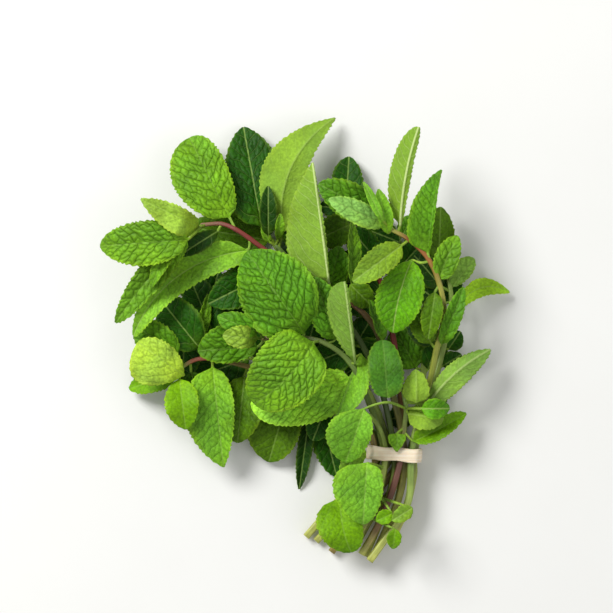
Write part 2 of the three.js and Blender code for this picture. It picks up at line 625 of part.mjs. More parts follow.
// How far each ring of a stem has to rise over the heap and over the stems it crosses.
function stemNeeds(rings, heap, laidRings) {
  return rings.map((ring) => {
    const half = ring.size * stemReach;
    let need = 0;
    if (isFree(ring.middle)) {
      for (let offset = -half; offset <= half; offset += half / 2) {
        const x = ring.middle.x + ring.side.x * offset;
        const y = ring.middle.y + ring.side.y * offset;
        need = Math.max(need, heap.under(x, y) + layGap + half - ring.middle.z);
      }
      laidRings.forEach((other) => {
        const apart = Math.hypot(other.x - ring.middle.x, other.y - ring.middle.y);
        const room = half + other.half + stemGap;
        if (apart < room + crossingMargin) need = Math.max(need, other.z + room - ring.middle.z);
      });
    }
    return need;
  });
}

// ---------------------------------------------------------------- laying down the bunch

const wasm = await Module();
wasm.setup();

function solidFrom(geometry) {
  return new wasm.Manifold(new wasm.Mesh({
    numProp: 3,
    vertProperties: geometry.attributes.position.array,
    triVerts: new Uint32Array(geometry.index.array),
  }));
}

function geometryFrom(solid) {
  const mesh = solid.getMesh();
  const geometry = new THREE.BufferGeometry();
  geometry.setAttribute('position', new THREE.BufferAttribute(mesh.vertProperties, 3));
  geometry.setIndex(new THREE.BufferAttribute(mesh.triVerts, 1));
  geometry.computeVertexNormals();
  return geometry;
}

const heap = new Heap();
const laidRings = [];             // points down the middle of every stem laid so far

function laySprig(sprig) {
  const route = stemRoute(sprig);
  const rings = stemRings(sprig, route);
  const pairs = sprig.pairs.flatMap(({ on, reach }) => (
    [1, -1].map((sign) => pairLeaf(route, on, reach, sign))));
  const leaves = [...pairs, ...sprig.leaves].map((leaf, number) => {
    const root = placeOn(route, leaf.on);
    const stations = leafStations(leaf, root, number);
    return { leaf, root, stations, distances: reaches(stations) };
  });

  // The stem rises far enough for itself and for the roots of its leaves.
  const needs = stemNeeds(rings, heap, laidRings);
  leaves.forEach(({ leaf, stations, distances }) => {
    const leafNeed = leafNeeds(stations, heap, null, null);
    const rootNeed = Math.max(...leafNeed.map((need, k) => need - leafBend * distances[k] ** 2));
    const ring = Math.round(leaf.on * stepsPerSpan);
    if (isFree(rings[ring].middle)) needs[ring] = Math.max(needs[ring], rootNeed);
  });
  const lifts = drape(needs, reaches(rings), stemBend, 0).map((lift, k) => {
    const { middle } = rings[k];
    const freedom = isFree(middle)
      ? THREE.MathUtils.smoothstep(Math.hypot(middle.x, middle.y), tiedReach, freeReach) : 0;
    return lift * freedom;
  });
  const liftOn = (on) => {
    const k = Math.min(rings.length - 2, Math.floor(on * stepsPerSpan));
    return THREE.MathUtils.lerp(lifts[k], lifts[k + 1], on * stepsPerSpan - k);
  };

  const ownSprig = new Heap();
  for (let k = 1; k < rings.length; k += 1) {
    const { side, size } = rings[k];
    const half = size * stemReach;
    for (let i = 0; i < samplesPerRing; i += 1) {
      const share = i / samplesPerRing;
      const middle = rings[k - 1].middle.clone().lerp(rings[k].middle, share);
      const z = middle.z + THREE.MathUtils.lerp(lifts[k - 1], lifts[k], share);
      laidRings.push({ x: middle.x, y: middle.y, z, half });
      for (let offset = -half; offset <= half; offset += half / 2) {
        ownSprig.add(middle.x + side.x * offset, middle.y + side.y * offset, z + half);
      }
    }
  }

  // Each leaf is bent over the heap and over the leaves of its own sprig below it.
  let solid = solidFrom(stemBody(rings, lifts));
  leaves.forEach(({ leaf, root, stations, distances }) => {
    const rootLift = liftOn(leaf.on);
    const extra = leafNeeds(stations, heap, ownSprig, root).map((need) => need - rootLift);
    const bent = drape(extra, distances, leafBend, leafDroop).map((lift, k) => (
      rootLift + lift * THREE.MathUtils.smoothstep(distances[k], 0, rootRun)));
    solid = solid.add(solidFrom(leafBody(stations, bent)));
    overLeaf(stations, (point, half, k, share) => {
      const lift = THREE.MathUtils.lerp(bent[k - 1], bent[k], share);
      ownSprig.add(point.x, point.y, point.z + half + lift);
    });
  });
  ownSprig.top.forEach((height, at) => {
    heap.top[at] = Math.max(heap.top[at], height);
  });
  return geometryFrom(solid);
}

// ---------------------------------------------------------------- rubber band

// The band is stretched over the three rows of stems, so its outline is theirs with
// rounded corners, and its underside is flat where it lies on the table.
const bandCorners = [
  [-10.2, 0], [10.2, 0], [12.7, 5.3], [12.7, 9.8],
  [10.6, 15.3], [-6.6, 15.3], [-12.7, 9.8], [-12.7, 5.3],
];
const bandTop = 15.3;
const bandHalfWidth = 13;         // across the stems, with a little to spare
const bandHalfLength = 4;         // along the stems, with a little to spare
const bandRounding = 2.4;

// The corners of a convex outline moved inwards by a distance.
function inset(corners, distance) {
  return corners.map((here, k) => {
    const before = corners[(k + corners.length - 1) % corners.length];
    const after = corners[(k + 1) % corners.length];
    const arriving = new THREE.Vector2(here[0] - before[0], here[1] - before[1]).normalize();
    const leaving = new THREE.Vector2(after[0] - here[0], after[1] - here[1]).normalize();
    const shift = distance / (1 + arriving.dot(leaving));
    return [
      here[0] + shift * (-arriving.y - leaving.y),
      here[1] + shift * (arriving.x + leaving.x),
    ];
  });
}

function rounded(PathClass, corners, rounding) {
  const path = new PathClass();
  corners.forEach((here, k) => {
    const before = corners[(k + corners.length - 1) % corners.length];
    const after = corners[(k + 1) % corners.length];
    const towards = (other) => {
      const far = Math.hypot(other[0] - here[0], other[1] - here[1]);
      const share = Math.min(0.45, rounding / far);
      return [here[0] + (other[0] - here[0]) * share, here[1] + (other[1] - here[1]) * share];
    };
    if (k === 0) path.moveTo(...towards(before));
    else path.lineTo(...towards(before));
    path.quadraticCurveTo(...here, ...towards(after));
  });
  path.closePath();
  return path;
}

function bandGeometry() {
  const shape = rounded(THREE.Shape, bandCorners, bandRounding);
  shape.holes.push(rounded(THREE.Path, inset(bandCorners, bandThickness), bandRounding));
  const geometry = new THREE.ExtrudeGeometry(shape, {
    depth: bandWidth, bevelEnabled: false, curveSegments: 3,
  });
  geometry.translate(0, 0, -bandWidth / 2);
  geometry.rotateX(Math.PI / 2);
  geometry.rotateZ(radians(bandSlant));
  return geometry;
}

// Leaves that lie over the band are lifted by it too.
function layBand() {
  for (let x = -bandHalfWidth; x <= bandHalfWidth; x += sampleStep) {
    for (let y = -bandHalfLength; y <= bandHalfLength; y += sampleStep) {
      heap.add(x, y, bandTop);
    }
  }
}

// ---------------------------------------------------------------- the object

const leafGreens = [0x3f6b24, 0x3a6622, 0x41702a, 0x8fb63c, 0x4b7a2c, 0x6f9a44, 0x517f2e, 0x6c9c3a,
  0x5f9232, 0x669638, 0x74a048, 0x7fae2e];

const bunch = new THREE.Group();

const band = new THREE.Mesh(bandGeometry(), new THREE.MeshStandardMaterial({
  color: 0xe6d3b0, roughness: 0.6, metalness: 0,
}));
band.name = 'rubber_band';
bunch.add(band);
layBand();

sprigs.forEach((sprig, number) => {
  const mesh = new THREE.Mesh(laySprig(sprig), new THREE.MeshStandardMaterial({
    color: leafGreens[number], roughness: 0.55, metalness: 0,
  }));
  mesh.name = sprig.name;
  bunch.add(mesh);
});

export default bunch;
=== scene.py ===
"""Looks of the tied bunch of mint: fine leaves, square stems, the rubber band, light and camera.

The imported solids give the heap: where each leaf and stem lies over what is under it. This
script repeats the plan of every sprig, in millimetres, reads from the solids how high each
part of it was lifted, and builds the same leaves again with fine teeth, veins and quilting.
"""
import math

import bpy
import numpy as np
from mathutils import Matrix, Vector


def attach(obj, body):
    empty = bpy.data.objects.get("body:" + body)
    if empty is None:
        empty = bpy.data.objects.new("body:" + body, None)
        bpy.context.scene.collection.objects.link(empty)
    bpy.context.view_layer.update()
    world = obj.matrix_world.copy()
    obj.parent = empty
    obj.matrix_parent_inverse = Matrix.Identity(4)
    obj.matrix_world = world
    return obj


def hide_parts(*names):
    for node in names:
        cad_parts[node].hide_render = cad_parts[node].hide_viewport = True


MM = 0.001

# ---------- the plan, as in the solids

STEM_ROLL = 9  # degrees
STEM_TIP_SIZE = 1.7  # mm
STEM_TAPER = 1.5  # power by which a stem thins towards its tip
STEPS_PER_SPAN = 2  # rings of a solid stem between two points of its route
BLADE_THICKNESS = 1.3  # mm, of a solid leaf at its midrib
RIM_THICKNESS = 0.6
STALK_THICKNESS = 1.2
PETIOLE_WIDTH = 1.5
FEWEST_TEETH = 2  # on each side of a solid leaf
MORE_TEETH_FROM = (10, 17, 20)  # mm, widths beyond which a solid leaf has one more tooth
NOTCH_DEPTH = 0.13  # of the half width
NOTCH_PLACE = 0.35  # of the way through a tooth
TOOTH_PLACE = 0.9
WAVE_HEIGHT = 0.035  # of the width
WAVE_TURNS = 2.2  # waves along a leaf
PAIR_STALK = 3.5  # mm
PAIR_TURN = (48, 72)  # degrees between the stem and a leaf of a pair
PAIR_LENGTH = (0.9, 1.12)  # of the reach given in the plan
PAIR_SLIMNESS = (0.56, 0.68)  # width against length
PAIR_TIP_HEIGHT = (1, 3.5)  # mm
PAIR_ROLL = (-10, 10)  # degrees
PAIR_FOLD = (5, 12)
PAIR_ARCH = (0.5, 2.5)  # mm
BAND_WIDTH = 6.35
BAND_SLANT = -4  # degrees

# Kinds of leaves: the green as a plain screen colour, how far such a leaf puffs up between its
# veins, and how clearly pale veins are drawn on it.
DEEP = ((24, 60, 2), 0.5, 0.15)
DARK = ((32, 80, 2), 0.7, 0.18)
MID = ((80, 134, 22), 1.0, 0.06)
GREY = ((88, 130, 44), 0.8, 0.1)
GRASS = ((84, 146, 14), 0.45, 0.25)
BRIGHT = ((102, 154, 30), 0.95, 0.06)
VIVID = ((110, 168, 42), 0.5, 0.12)
OLIVE = ((70, 108, 6), 0.5, 0.1)
LIME = ((98, 148, 6), 0.22, 0.08)
BLUISH = ((60, 110, 28), 0.25, 0.05)
LIGHT = ((120, 168, 76), 0.8, 0.1)
SOFT = ((124, 166, 50), 0.3, 0.03)
PALE = ((112, 152, 44), 0.4, 0.18)
SAGE = ((94, 130, 26), 0.5, 0.2)
# Painted light: a brighter green for the long leaf that lies in the shade of others, partly its own
# colour.
FERN_WITH_PAINTED_LIGHT = ((114, 166, 40), 0.5, 0.2)
# Painted light: a brighter green for a leaf that lies mostly in the shade of the leaves above it,
# partly its own colour.
GREEN_WITH_PAINTED_LIGHT = ((156, 224, 66), 0.9, 0.06)
# Painted light: a brighter green for a curved leaf that lies in shade, partly its own colour.
FRESH_WITH_PAINTED_LIGHT = ((146, 198, 48), 0.4, 0.15)
ZEST = ((136, 172, 52), 1.0, 0.1)
CREAM = ((144, 180, 60), 0.45, 0.08)

SPRIGS = []


def add_sprig(name, size, stem, leaves, pairs=()):
    """One sprig of the plan: the thickness and route of its stem, its leaves, and its pairs of
    opposite leaves, each as (place on the route, reach)."""
    SPRIGS.append({"name": name, "size": size, "stem": stem, "leaves": leaves, "pairs": pairs})


def leaf(on, base, tip, wide, kind=DARK, roll=0, fold=12, arch=2, bow=0, lean=0, foot=0.5,
         point=0.62, via=None, teeth=None):
    """One leaf of the plan, in millimetres and degrees.

    It grows at a place on its stem's route. Its blade runs from base to tip, arches upwards and
    bows sideways. Lean makes one half wider, foot and point shape the ends, and the petiole may
    pass a point on its way.
    """
    return {
        "on": on, "base": base, "tip": tip, "wide": wide, "kind": kind, "roll": roll,
        "fold": fold, "arch": arch, "bow": bow, "lean": lean, "foot": foot, "point": point,
        "via": via, "teeth": teeth,
    }


add_sprig("sprig_01", 3.2, [
    (-40, -38, 2.2), (-25, -21, 3), (-11.3, -8.5, 3.4), (-6.8, 0, 3.4), (-10, 10, 3.4),
    (-24, 16.5, 3.2), (-39, 23, 3), (-54, 36, 3), (-70, 49, 3), (-85, 62, 3), (-98, 74, 3),
], [
    leaf(5.6, (-32.5, 16, 2), (-26, -11, 1), 15, arch=1),
    leaf(6, (-38.5, 18, 3), (-43.2, -16.5, 1), 8, DEEP, fold=24, roll=-8),
    leaf(5.8, (-35, 25, 3), (-24, 36, 2), 14),
    leaf(7.5, (-66, 43, 3), (-93, 34, 1), 18, teeth=3),
    leaf(9.6, (-95, 64, 2), (-96, 33, 1), 19, teeth=3),
], pairs=[(9, 18)])

add_sprig("sprig_02", 3.2, [
    (-19.5, -42.5, 2.2), (-8, -26, 3.2), (4.8, -8.5, 3.4), (6.9, 0, 3.4), (11.5, 18, 3.4),
    (13.5, 38, 3), (13, 58, 3), (9, 79, 3), (2, 97, 3), (-5, 108, 3),
], [
    leaf(4.3, (14.5, 23, 2), (25, 29, 1), 11),
    leaf(4, (8.5, 18, 0.8), (-3, 15, 0.8), 11, DEEP, fold=0, arch=0, teeth=2),
    leaf(5, (10, 39, 3), (0, 57, 2), 18, MID, teeth=3),
    leaf(4.9, (15.5, 38.5, 3), (21, 54, 2), 12),
    leaf(6.6, (13.5, 69, 3), (31, 78, 2), 13),
    leaf(7.5, (4, 86, 3), (15, 98, 2), 14),
    leaf(8, (3.5, 99, 3), (8.5, 108, 3), 9, MID, arch=1),
    leaf(9, (-7, 110, 3), (-34, 112.5, 2), 15),
], pairs=[(7.2, 16)])

add_sprig("sprig_03", 3.2, [
    (-35.5, -40, 2.2), (-19, -23.5, 3.2), (-5.4, -8, 3.4), (-2.2, 0, 3.4), (-7, 18, 3.4),
    (-18, 40, 3), (-31, 61, 3), (-44, 79, 3), (-55, 96, 3), (-63, 110, 3),
], [
    leaf(7, (-41, 81, 3), (-27, 89, 2), 15),
    leaf(7.2, (-48, 79, 3), (-83, 65, 1), 20, teeth=3),
    leaf(7.8, (-53.5, 98, 3), (-37, 93, 2), 18, DEEP, teeth=3),
    leaf(8, (-57, 97, 3), (-93, 103, 1), 21, OLIVE, teeth=3),
    leaf(9, (-64, 112, 3), (-66, 132, 2), 15),
], pairs=[(5.2, 19), (6.2, 20)])

add_sprig("sprig_04", 3.2, [
    (-28.5, -45, 2.2), (-14, -25.5, 3.2), (-0.3, -8, 3.4), (2.4, 0, 3.4), (3, 20, 3.4),
    (1, 43, 3), (-3, 65, 3), (-8.5, 85, 3), (-14, 100, 3), (-19, 109, 3),
], [
    leaf(5.3, (-4, 49, 3), (-22, 36, 2), 19, teeth=3),
    leaf(6.3, (-7, 72, 3), (-21, 78, 2), 14),
    leaf(7.2, (-12, 87, 3), (-30, 84, 2), 15),
    leaf(7.3, (-9, 89, 3), (-20, 102, 2), 15),
    leaf(7.6, (-9, 95.5, 3), (-3, 109, 3), 11),
    leaf(8.5, (-20, 104, 3), (-35, 97, 2), 16, OLIVE),
    leaf(8, (-10.5, 101, 3), (2, 96, 2), 13),
    leaf(9, (-22, 111, 4), (-20.5, 135, 4), 16),
], pairs=[(6, 18)])

add_sprig("sprig_05", 3.2, [
    (-22, -41, 6.4), (-13.5, -25, 7.2), (-9.6, -10, 7.4), (-8.8, 0, 7.4), (-10.8, 9, 7.2),
    (-18, 18, 6), (-29, 25, 5), (-45, 31.5, 4), (-63, 38.5, 4), (-79, 42.5, 4),
    (-89, 43, 4), (-97, 39, 5),
], [
    leaf(4.1, (-14, 3.5, 6), (-24.5, -9.5, 4), 9.5, PALE, fold=15, arch=1),
    leaf(7, (-48, 26.5, 2), (-57, -4, 1), 27, OLIVE, lean=-0.22),
    leaf(6.1, (-31, 21.5, 3), (-37, 6, 1), 13),
    leaf(7.1, (-43, 37, 2), (-36, 60, 2), 17),
    leaf(8.2, (-68, 35, 2), (-71, 5, 1), 20, OLIVE),
    leaf(8, (-62, 43, 3), (-57, 64, 2), 16),
    leaf(9, (-80, 50, 3), (-94, 83, 2), 18),
    leaf(10.4, (-92, 37, 3), (-88, 18, 1), 15),
    leaf(9.3, (-82.2, 39.3, 4), (-77.3, -6, 2), 23.5, VIVID, fold=14, lean=-0.3, point=0.75),
    leaf(9.4, (-88.2, 52, 4), (-84.2, 72.5, 6), 7, BRIGHT, roll=35, fold=20),
    leaf(9.8, (-88, 48, 3), (-107, 71.5, 1), 20),
    leaf(10.8, (-98, 45, 3), (-117.8, 59, 2), 17, MID),
    leaf(11, (-99, 36, 3), (-120.5, 29.5, 1), 13, LIME, roll=20, fold=14),
    leaf(10.9, (-97, 34, 3), (-94, 11.5, 1), 16, LIME, fold=14),
    leaf(11, (-95, 35.8, 5), (-115.5, 51, 3), 23, CREAM, fold=8, lean=0.3, foot=0.8, point=0.6),
])

add_sprig("sprig_06", 3.2, [
    (-13, -46.6, 6.4), (-4.2, -25, 7.2), (-0.3, -10, 7.4), (0, 0, 7.4), (-3, 18, 7.2),
    (-9, 38, 5), (-20, 58, 4), (-33, 74, 4), (-45, 85.5, 4), (-54, 95, 5),
], [
    leaf(7, (-30, 72, 3), (-25, 94, 3), 15, MID),
    leaf(5.5, (-17.5, 49, 3), (-37, 41, 2), 17),
    leaf(8.2, (-52, 84, 3), (-84, 68, 1), 20),
    leaf(8, (-44, 91, 3), (-42.5, 118, 3), 16),
    leaf(9, (-60, 103, 4), (-68.5, 148.5, 4), 27, fold=8),
    leaf(8.8, (-51, 100, 5), (-26.8, 152.5, 7), 20, SOFT, roll=180, fold=4, bow=8.5, lean=-0.2,
         point=0.75),
    leaf(9, (-57, 99, 6), (-57, 121, 8), 9, DEEP, fold=20),
    leaf(8.95, (-52.5, 97, 7), (-51.5, 108.5, 10), 5, BRIGHT, roll=20, fold=20, arch=1),
    leaf(8.9, (-56.5, 96, 7), (-60, 102.5, 9), 4, BRIGHT, fold=20, arch=1),
])

add_sprig("sprig_07", 3.4, [
    (-0.2, -37, 6.4), (5.2, -25, 7.2), (8.8, -10, 7.4), (9, 0, 7.4), (13.5, 18, 7),
    (18.5, 34, 5), (22.5, 49.5, 4), (25.5, 63, 4), (25.5, 74.5, 4), (23, 84, 4),
], [
    leaf(5.3, (22, 40, 3), (30.5, 45, 2), 9, arch=1),
    leaf(5.9, (24.5, 47.5, 3), (30, 55.5, 2), 9, arch=1),
    leaf(6.1, (19, 51, 3), (6, 61, 2), 14, DEEP),
    leaf(7.1, (29, 66.5, 4), (52.5, 73.5, 3), 9.5, FRESH_WITH_PAINTED_LIGHT, fold=24, bow=5.5),
    leaf(7.5, (21.5, 68, 3), (10.5, 76, 3), 11, DEEP),
    leaf(7.9, (21, 76, 3), (9, 90, 3), 13, DEEP),
    leaf(8.2, (26.5, 76, 4), (36.2, 88.7, 6), 9.5, LIGHT, lean=0.25, point=0.45),
    leaf(9, (20, 88, 4), (21, 112, 6), 14, OLIVE),
])

add_sprig("sprig_08", 3.4, [
    (-8.5, -45, 6.4), (0.4, -25, 7.2), (4.2, -10, 7.4), (4.5, 0, 7.4), (3, 12, 7.4),
    (0, 24, 7), (-3.5, 38, 6), (-7.5, 54, 6), (-16, 65.5, 6), (-29.5, 74, 6),
    (-45, 82.5, 6), (-59.5, 93, 6), (-70, 100.5, 7), (-78, 104, 7), (-87, 103.5, 8),
], [
    leaf(7, (-5.5, 51.5, 6), (-11.5, 70, 7), 9, MID, roll=45, fold=20, arch=1),
    leaf(8.5, (-19, 77, 6), (-19.5, 105.5, 8), 9.5, BRIGHT, roll=45, fold=18, arch=1),
    leaf(9, (-29.6, 77, 6), (-37.1, 131.3, 9), 21, PALE, roll=168, fold=18, lean=-0.88, point=0.95),
    leaf(8.3, (-20, 76.5, 8.5), (-10.5, 67, 8.5), 11.5, OLIVE),
    leaf(11.5, (-66.5, 92, 5), (-117.6, 53.5, 2), 17.5, FERN_WITH_PAINTED_LIGHT, fold=20, bow=-9.5, foot=0.3,
         point=0.55),
    leaf(12.2, (-74.5, 107, 7), (-92.8, 143.2, 7), 26.2, BRIGHT, fold=8, lean=0.22, point=0.42),
    leaf(13, (-80, 100.5, 4), (-97, 89.5, 2), 8.5, DEEP),
    leaf(13.8, (-93.5, 98, 5), (-125.5, 59.5, 1), 14, BRIGHT, roll=-8, fold=15, bow=-1),
    leaf(13.9, (-95.5, 98, 6), (-109, 75.3, 3), 8.5, BRIGHT, roll=15, fold=20, bow=-1.5),
    leaf(13.9, (-92.8, 96.5, 7), (-132.3, 93.8, 4), 21, BRIGHT, fold=9),
    leaf(14, (-88.5, 102.5, 8), (-113.6, 114.7, 9), 13.4, CREAM, fold=24, lean=0.21, foot=0.3,
         point=0.7),
])

add_sprig("sprig_09", 3.2, [
    (-18, -42.5, 6.4), (-8.8, -25, 7.2), (-5, -10, 7.4), (-4.5, 0, 7.4), (-8, 14, 7.6),
    (-13.5, 28, 8), (-18.5, 39, 7), (-26, 47, 6), (-36, 52, 6), (-48, 53, 5), (-60, 52.5, 5),
], [
    leaf(5.8, (-20, 34, 4), (-65, 22, 2), 24, GREEN_WITH_PAINTED_LIGHT, lean=0.3, foot=0.4, point=0.5),
    leaf(7.5, (-27, 52, 4), (-36, 80, 3), 16, MID),
    leaf(6.3, (-18, 41.5, 6), (-23, 78, 8), 12.5, GREY, roll=168, fold=18, lean=-0.75, foot=0.9,
         point=0.45),
    leaf(6.3, (-15.5, 45.5, 7), (-26.2, 17, 7), 12, VIVID, roll=25, fold=14, lean=0.8),
    leaf(8.5, (-41, 55, 6), (-66.5, 91.5, 5), 35, MID, fold=8, arch=4),
    leaf(7.8, (-37, 50.5, 6.5), (-63.3, 23.2, 4), 31.6, BRIGHT, fold=6, arch=4, bow=2.5, lean=-0.1,
         foot=0.3, point=0.42),
    leaf(9.8, (-62, 48.5, 4), (-88.8, 46.8, 2), 19, MID, lean=-0.28),
    leaf(9.9, (-61.5, 55.5, 5), (-79.5, 62.5, 4), 11, MID),
    leaf(10, (-62, 52.5, 6), (-77, 54, 7), 11, ZEST),
])

add_sprig("sprig_10", 3.4, [
    (-11.3, -48.4, 10.6), (-4.5, -39, 11), (2.6, -29, 11.4), (6.8, -19, 11.7),
    (7.6, 0, 11.7), (10.4, 14, 12), (15.8, 33, 10), (18.6, 47.5, 8), (21.8, 63, 7),
    (19.6, 76.5, 7), (14.5, 88, 7), (6, 96.5, 7), (-2.7, 101.5, 7),
], [
    leaf(7, (20.5, 50, 7), (30.5, 75.5, 8), 9.5, MID, roll=12, fold=22),
    leaf(7, (16, 50.5, 6), (8, 66, 4), 12, OLIVE),
    leaf(9, (17.5, 73, 6), (14.5, 52, 4), 10, OLIVE),
    leaf(9.2, (19.5, 79, 7), (27.5, 98.5, 9), 12, BRIGHT, bow=0.5),
    leaf(9.9, (7.2, 87.5, 8), (-1.2, 55, 5), 21.5, GRASS, roll=-5, arch=3, bow=-1.5, foot=0.65,
         via=(11, 86.3, 8.5)),
    leaf(9.8, (14.2, 91, 7), (20.6, 128, 11), 13.5, MID, roll=-30, fold=30, bow=1, lean=0.6,
         foot=0.35, point=0.75),
    leaf(11, (2.5, 94, 6), (-19.3, 77.8, 3), 13.5, PALE),
    leaf(11.6, (2, 103.2, 8), (10.3, 147, 14), 11, SAGE, roll=168, fold=16, bow=1.8, lean=-0.5,
         point=0.45),
    leaf(11.7, (-6.5, 106.5, 5), (-34.5, 121.5, 4), 17, MID),
    leaf(11.8, (-5, 103, 7), (-30, 114.5, 6), 11, LIGHT, fold=16),
    leaf(11.9, (-3.5, 99.5, 7), (-8, 119, 12), 8, VIVID, roll=15, fold=24, arch=1),
    leaf(12, (-6, 105, 8), (-14.5, 122, 9), 4.5, VIVID, fold=20, arch=1),
])

add_sprig("sprig_11", 3.2, [
    (-15, -45.4, 10.4), (-8.4, -34, 11), (-1.6, -18, 11.7), (2.4, -4, 11.7), (3, 3, 11.7),
    (4.4, 12, 12.6), (5, 21, 15), (3.2, 30, 17),
], [
    leaf(4.8, (8.5, 6, 13), (32.5, 18.5, 15), 11.5, LIME, roll=-14, fold=28, arch=0, bow=-0.5),
    leaf(5, (1, 9.4, 15), (0.9, 1.3, 16.6), 8.3, BRIGHT, arch=0.5, foot=0.2, point=0.75),
    leaf(6, (-14.2, 21, 15), (-22.4, -3.6, 8), 20.8, VIVID, roll=-5, fold=8, arch=3, lean=-0.26,
         foot=0.6, via=(-4, 24, 18)),
    leaf(6, (6, 18.5, 14), (21.8, 16.2, 13), 12.5, SOFT, roll=160, fold=18, foot=0.35, point=0.42),
    leaf(6.3, (15, 23, 14), (43.2, 47.4, 16), 12, LIGHT, roll=170, fold=16, bow=2.6, lean=0.15),
    leaf(6, (12, 21, 12), (24.5, 21, 8), 10, GRASS),
    leaf(6.4, (9.5, 24, 16), (9.2, 38.5, 17), 12.5, SOFT, roll=180, fold=5, foot=0.35),
    leaf(7, (-3.5, 26, 15), (-5.7, 51.8, 15), 16.5, BLUISH, fold=3, foot=0.4, point=0.45),
])

add_sprig("sprig_12", 3, [
    (-18.8, -41, 10.4), (-13.2, -31, 11), (-7, -16, 11.7), (-4, 0, 11.7), (-6.5, 11, 12),
    (-11.5, 18, 13),
], [
    leaf(1.4, (-24.5, -20, 10), (-19.5, -44.3, 6), 21.5, LIME, fold=5, arch=3, bow=-1.5, lean=-0.1,
         foot=0.35, point=0.5),
    leaf(2.6, (-12.7, -3.5, 14), (-14.4, -31.3, 12), 23.5, VIVID, fold=8, arch=4, lean=-0.26,
         foot=0.4),
    leaf(1.9, (-1.5, -26, 12), (-8.5, -29.5, 12), 7, LIME, arch=1),
    leaf(1.8, (7.5, -23.5, 14.5), (-1.5, -29, 15), 7.5, PALE, arch=1),
    leaf(1.2, (0, -33, 7), (-1, -42, 4), 7, LIME, arch=1),
])


# ---------- the formulas of the solids

UP = np.array([0.0, 0.0, 1.0])
ON_STEP = 0.05  # either way along a route, to find its direction
UPTURNED_FROM = 90  # degrees of roll beyond which a leaf shows its underside
SAME_PLACE = 0.004  # mm in x and in y within which a point of the solids is the same one
OFF_FLOOR = 0.001  # mm above which a point of the solids is known to be lifted

DRAW_FACTOR = 16807
DRAW_RANGE = 2147483647
_seed = 20


def draw(low, high):
    """The same draws in the same order as in the solids."""
    global _seed
    _seed = (_seed * DRAW_FACTOR) % DRAW_RANGE
    return low + (high - low) * (_seed / DRAW_RANGE)


def unit(vector):
    return vector / np.linalg.norm(vector)


def left_of(direction):
    return unit(np.array([-direction[1], direction[0], 0.0]))


def place_on(points, on):
    """The point at a place counted along a smooth route through the points."""
    last = len(points) - 1
    on = min(last, max(0.0, on))
    here = min(last - 1, int(on))
    share = on - here
    before = points[here - 1] if here > 0 else 2 * points[0] - points[1]
    after = points[here + 2] if here + 2 <= last else 2 * points[last] - points[last - 1]
    start, end = points[here], points[here + 1]
    leaving, arriving = 0.5 * (end - before), 0.5 * (after - start)
    return (
        start + leaving * share
        + (3 * (end - start) - 2 * leaving - arriving) * share ** 2
        + (2 * (start - end) + leaving + arriving) * share ** 3
    )


def direction_on(points, on):
    return unit(place_on(points, on + ON_STEP) - place_on(points, on - ON_STEP))


def stem_size(sprig, share):
    """Thickness of a stem at a share of its length."""
    return sprig["size"] + (STEM_TIP_SIZE - sprig["size"]) * share ** STEM_TAPER


def pair_leaf(points, on, reach, sign):
    """One of a pair of opposite leaves, drawn as in the solids."""
    root = place_on(points, on)
    forwards = direction_on(points, on)
    turn = sign * math.radians(draw(*PAIR_TURN))
    level = unit(np.array([forwards[0], forwards[1], 0.0]))
    out = level * math.cos(turn) + np.cross(UP, level) * math.sin(turn)
    length = reach * draw(*PAIR_LENGTH)
    base = root + out * PAIR_STALK
    tip = base + out * length
    return leaf(
        on, (base[0], base[1], root[2]), (tip[0], tip[1], draw(*PAIR_TIP_HEIGHT)),
        length * draw(*PAIR_SLIMNESS),
        roll=draw(*PAIR_ROLL), fold=draw(*PAIR_FOLD), arch=draw(*PAIR_ARCH), teeth=FEWEST_TEETH,
    )


def outline(s, shape):
    """Half width of a leaf along its midrib, 1 where it is widest."""
    foot, point = shape["foot"], shape["point"]
    widest = foot / (foot + point)
    return s ** foot * (1 - s) ** point / (widest ** foot * (1 - widest) ** point)


def solid_edge_places(shape):
    """Places along the midrib of a solid leaf with a notch or the point of a tooth."""
    teeth = shape["teeth"]
    if teeth is None:
        teeth = FEWEST_TEETH + sum(shape["wide"] > width for width in MORE_TEETH_FROM)
    places = [(0.0, 0.0)]
    for tooth in range(teeth):
        places.append(((tooth + NOTCH_PLACE) / (teeth + 0.25), 1 - NOTCH_DEPTH))
        places.append(((tooth + TOOTH_PLACE) / (teeth + 0.25), 1.0))
    places.append((1.0, 0.0))
    return places


def leaf_frame(shape):
    """The directions that a leaf's formulas use."""
    base = np.array(shape["base"], float)
    tip = np.array(shape["tip"], float)
    along = unit(tip - base)
    level = left_of(along)
    upright = np.cross(along, level)
    roll = math.radians(shape["roll"])
    side = level * math.cos(roll) + upright * math.sin(roll)
    return {
        "base": base, "along": along, "length": np.linalg.norm(tip - base), "level": level,
        "side": side, "up": np.cross(along, side), "fold": math.radians(shape["fold"]),
        "turned": -1 if abs(shape["roll"]) > UPTURNED_FROM else 1,
    }


def midrib(shape, axes, s):
    """The middle of a leaf at s, before it is lifted."""
    rise = 4 * s * (1 - s)
    return (
        axes["base"] + axes["along"] * axes["length"] * s
        + UP * shape["arch"] * rise + axes["level"] * shape["bow"] * rise
    )


def stalk_route(shape, root, axes):
    """The points that the petiole passes, from the stem to the base of the blade."""
    return [root] + ([np.array(shape["via"], float)] if shape["via"] else []) + [axes["base"]]


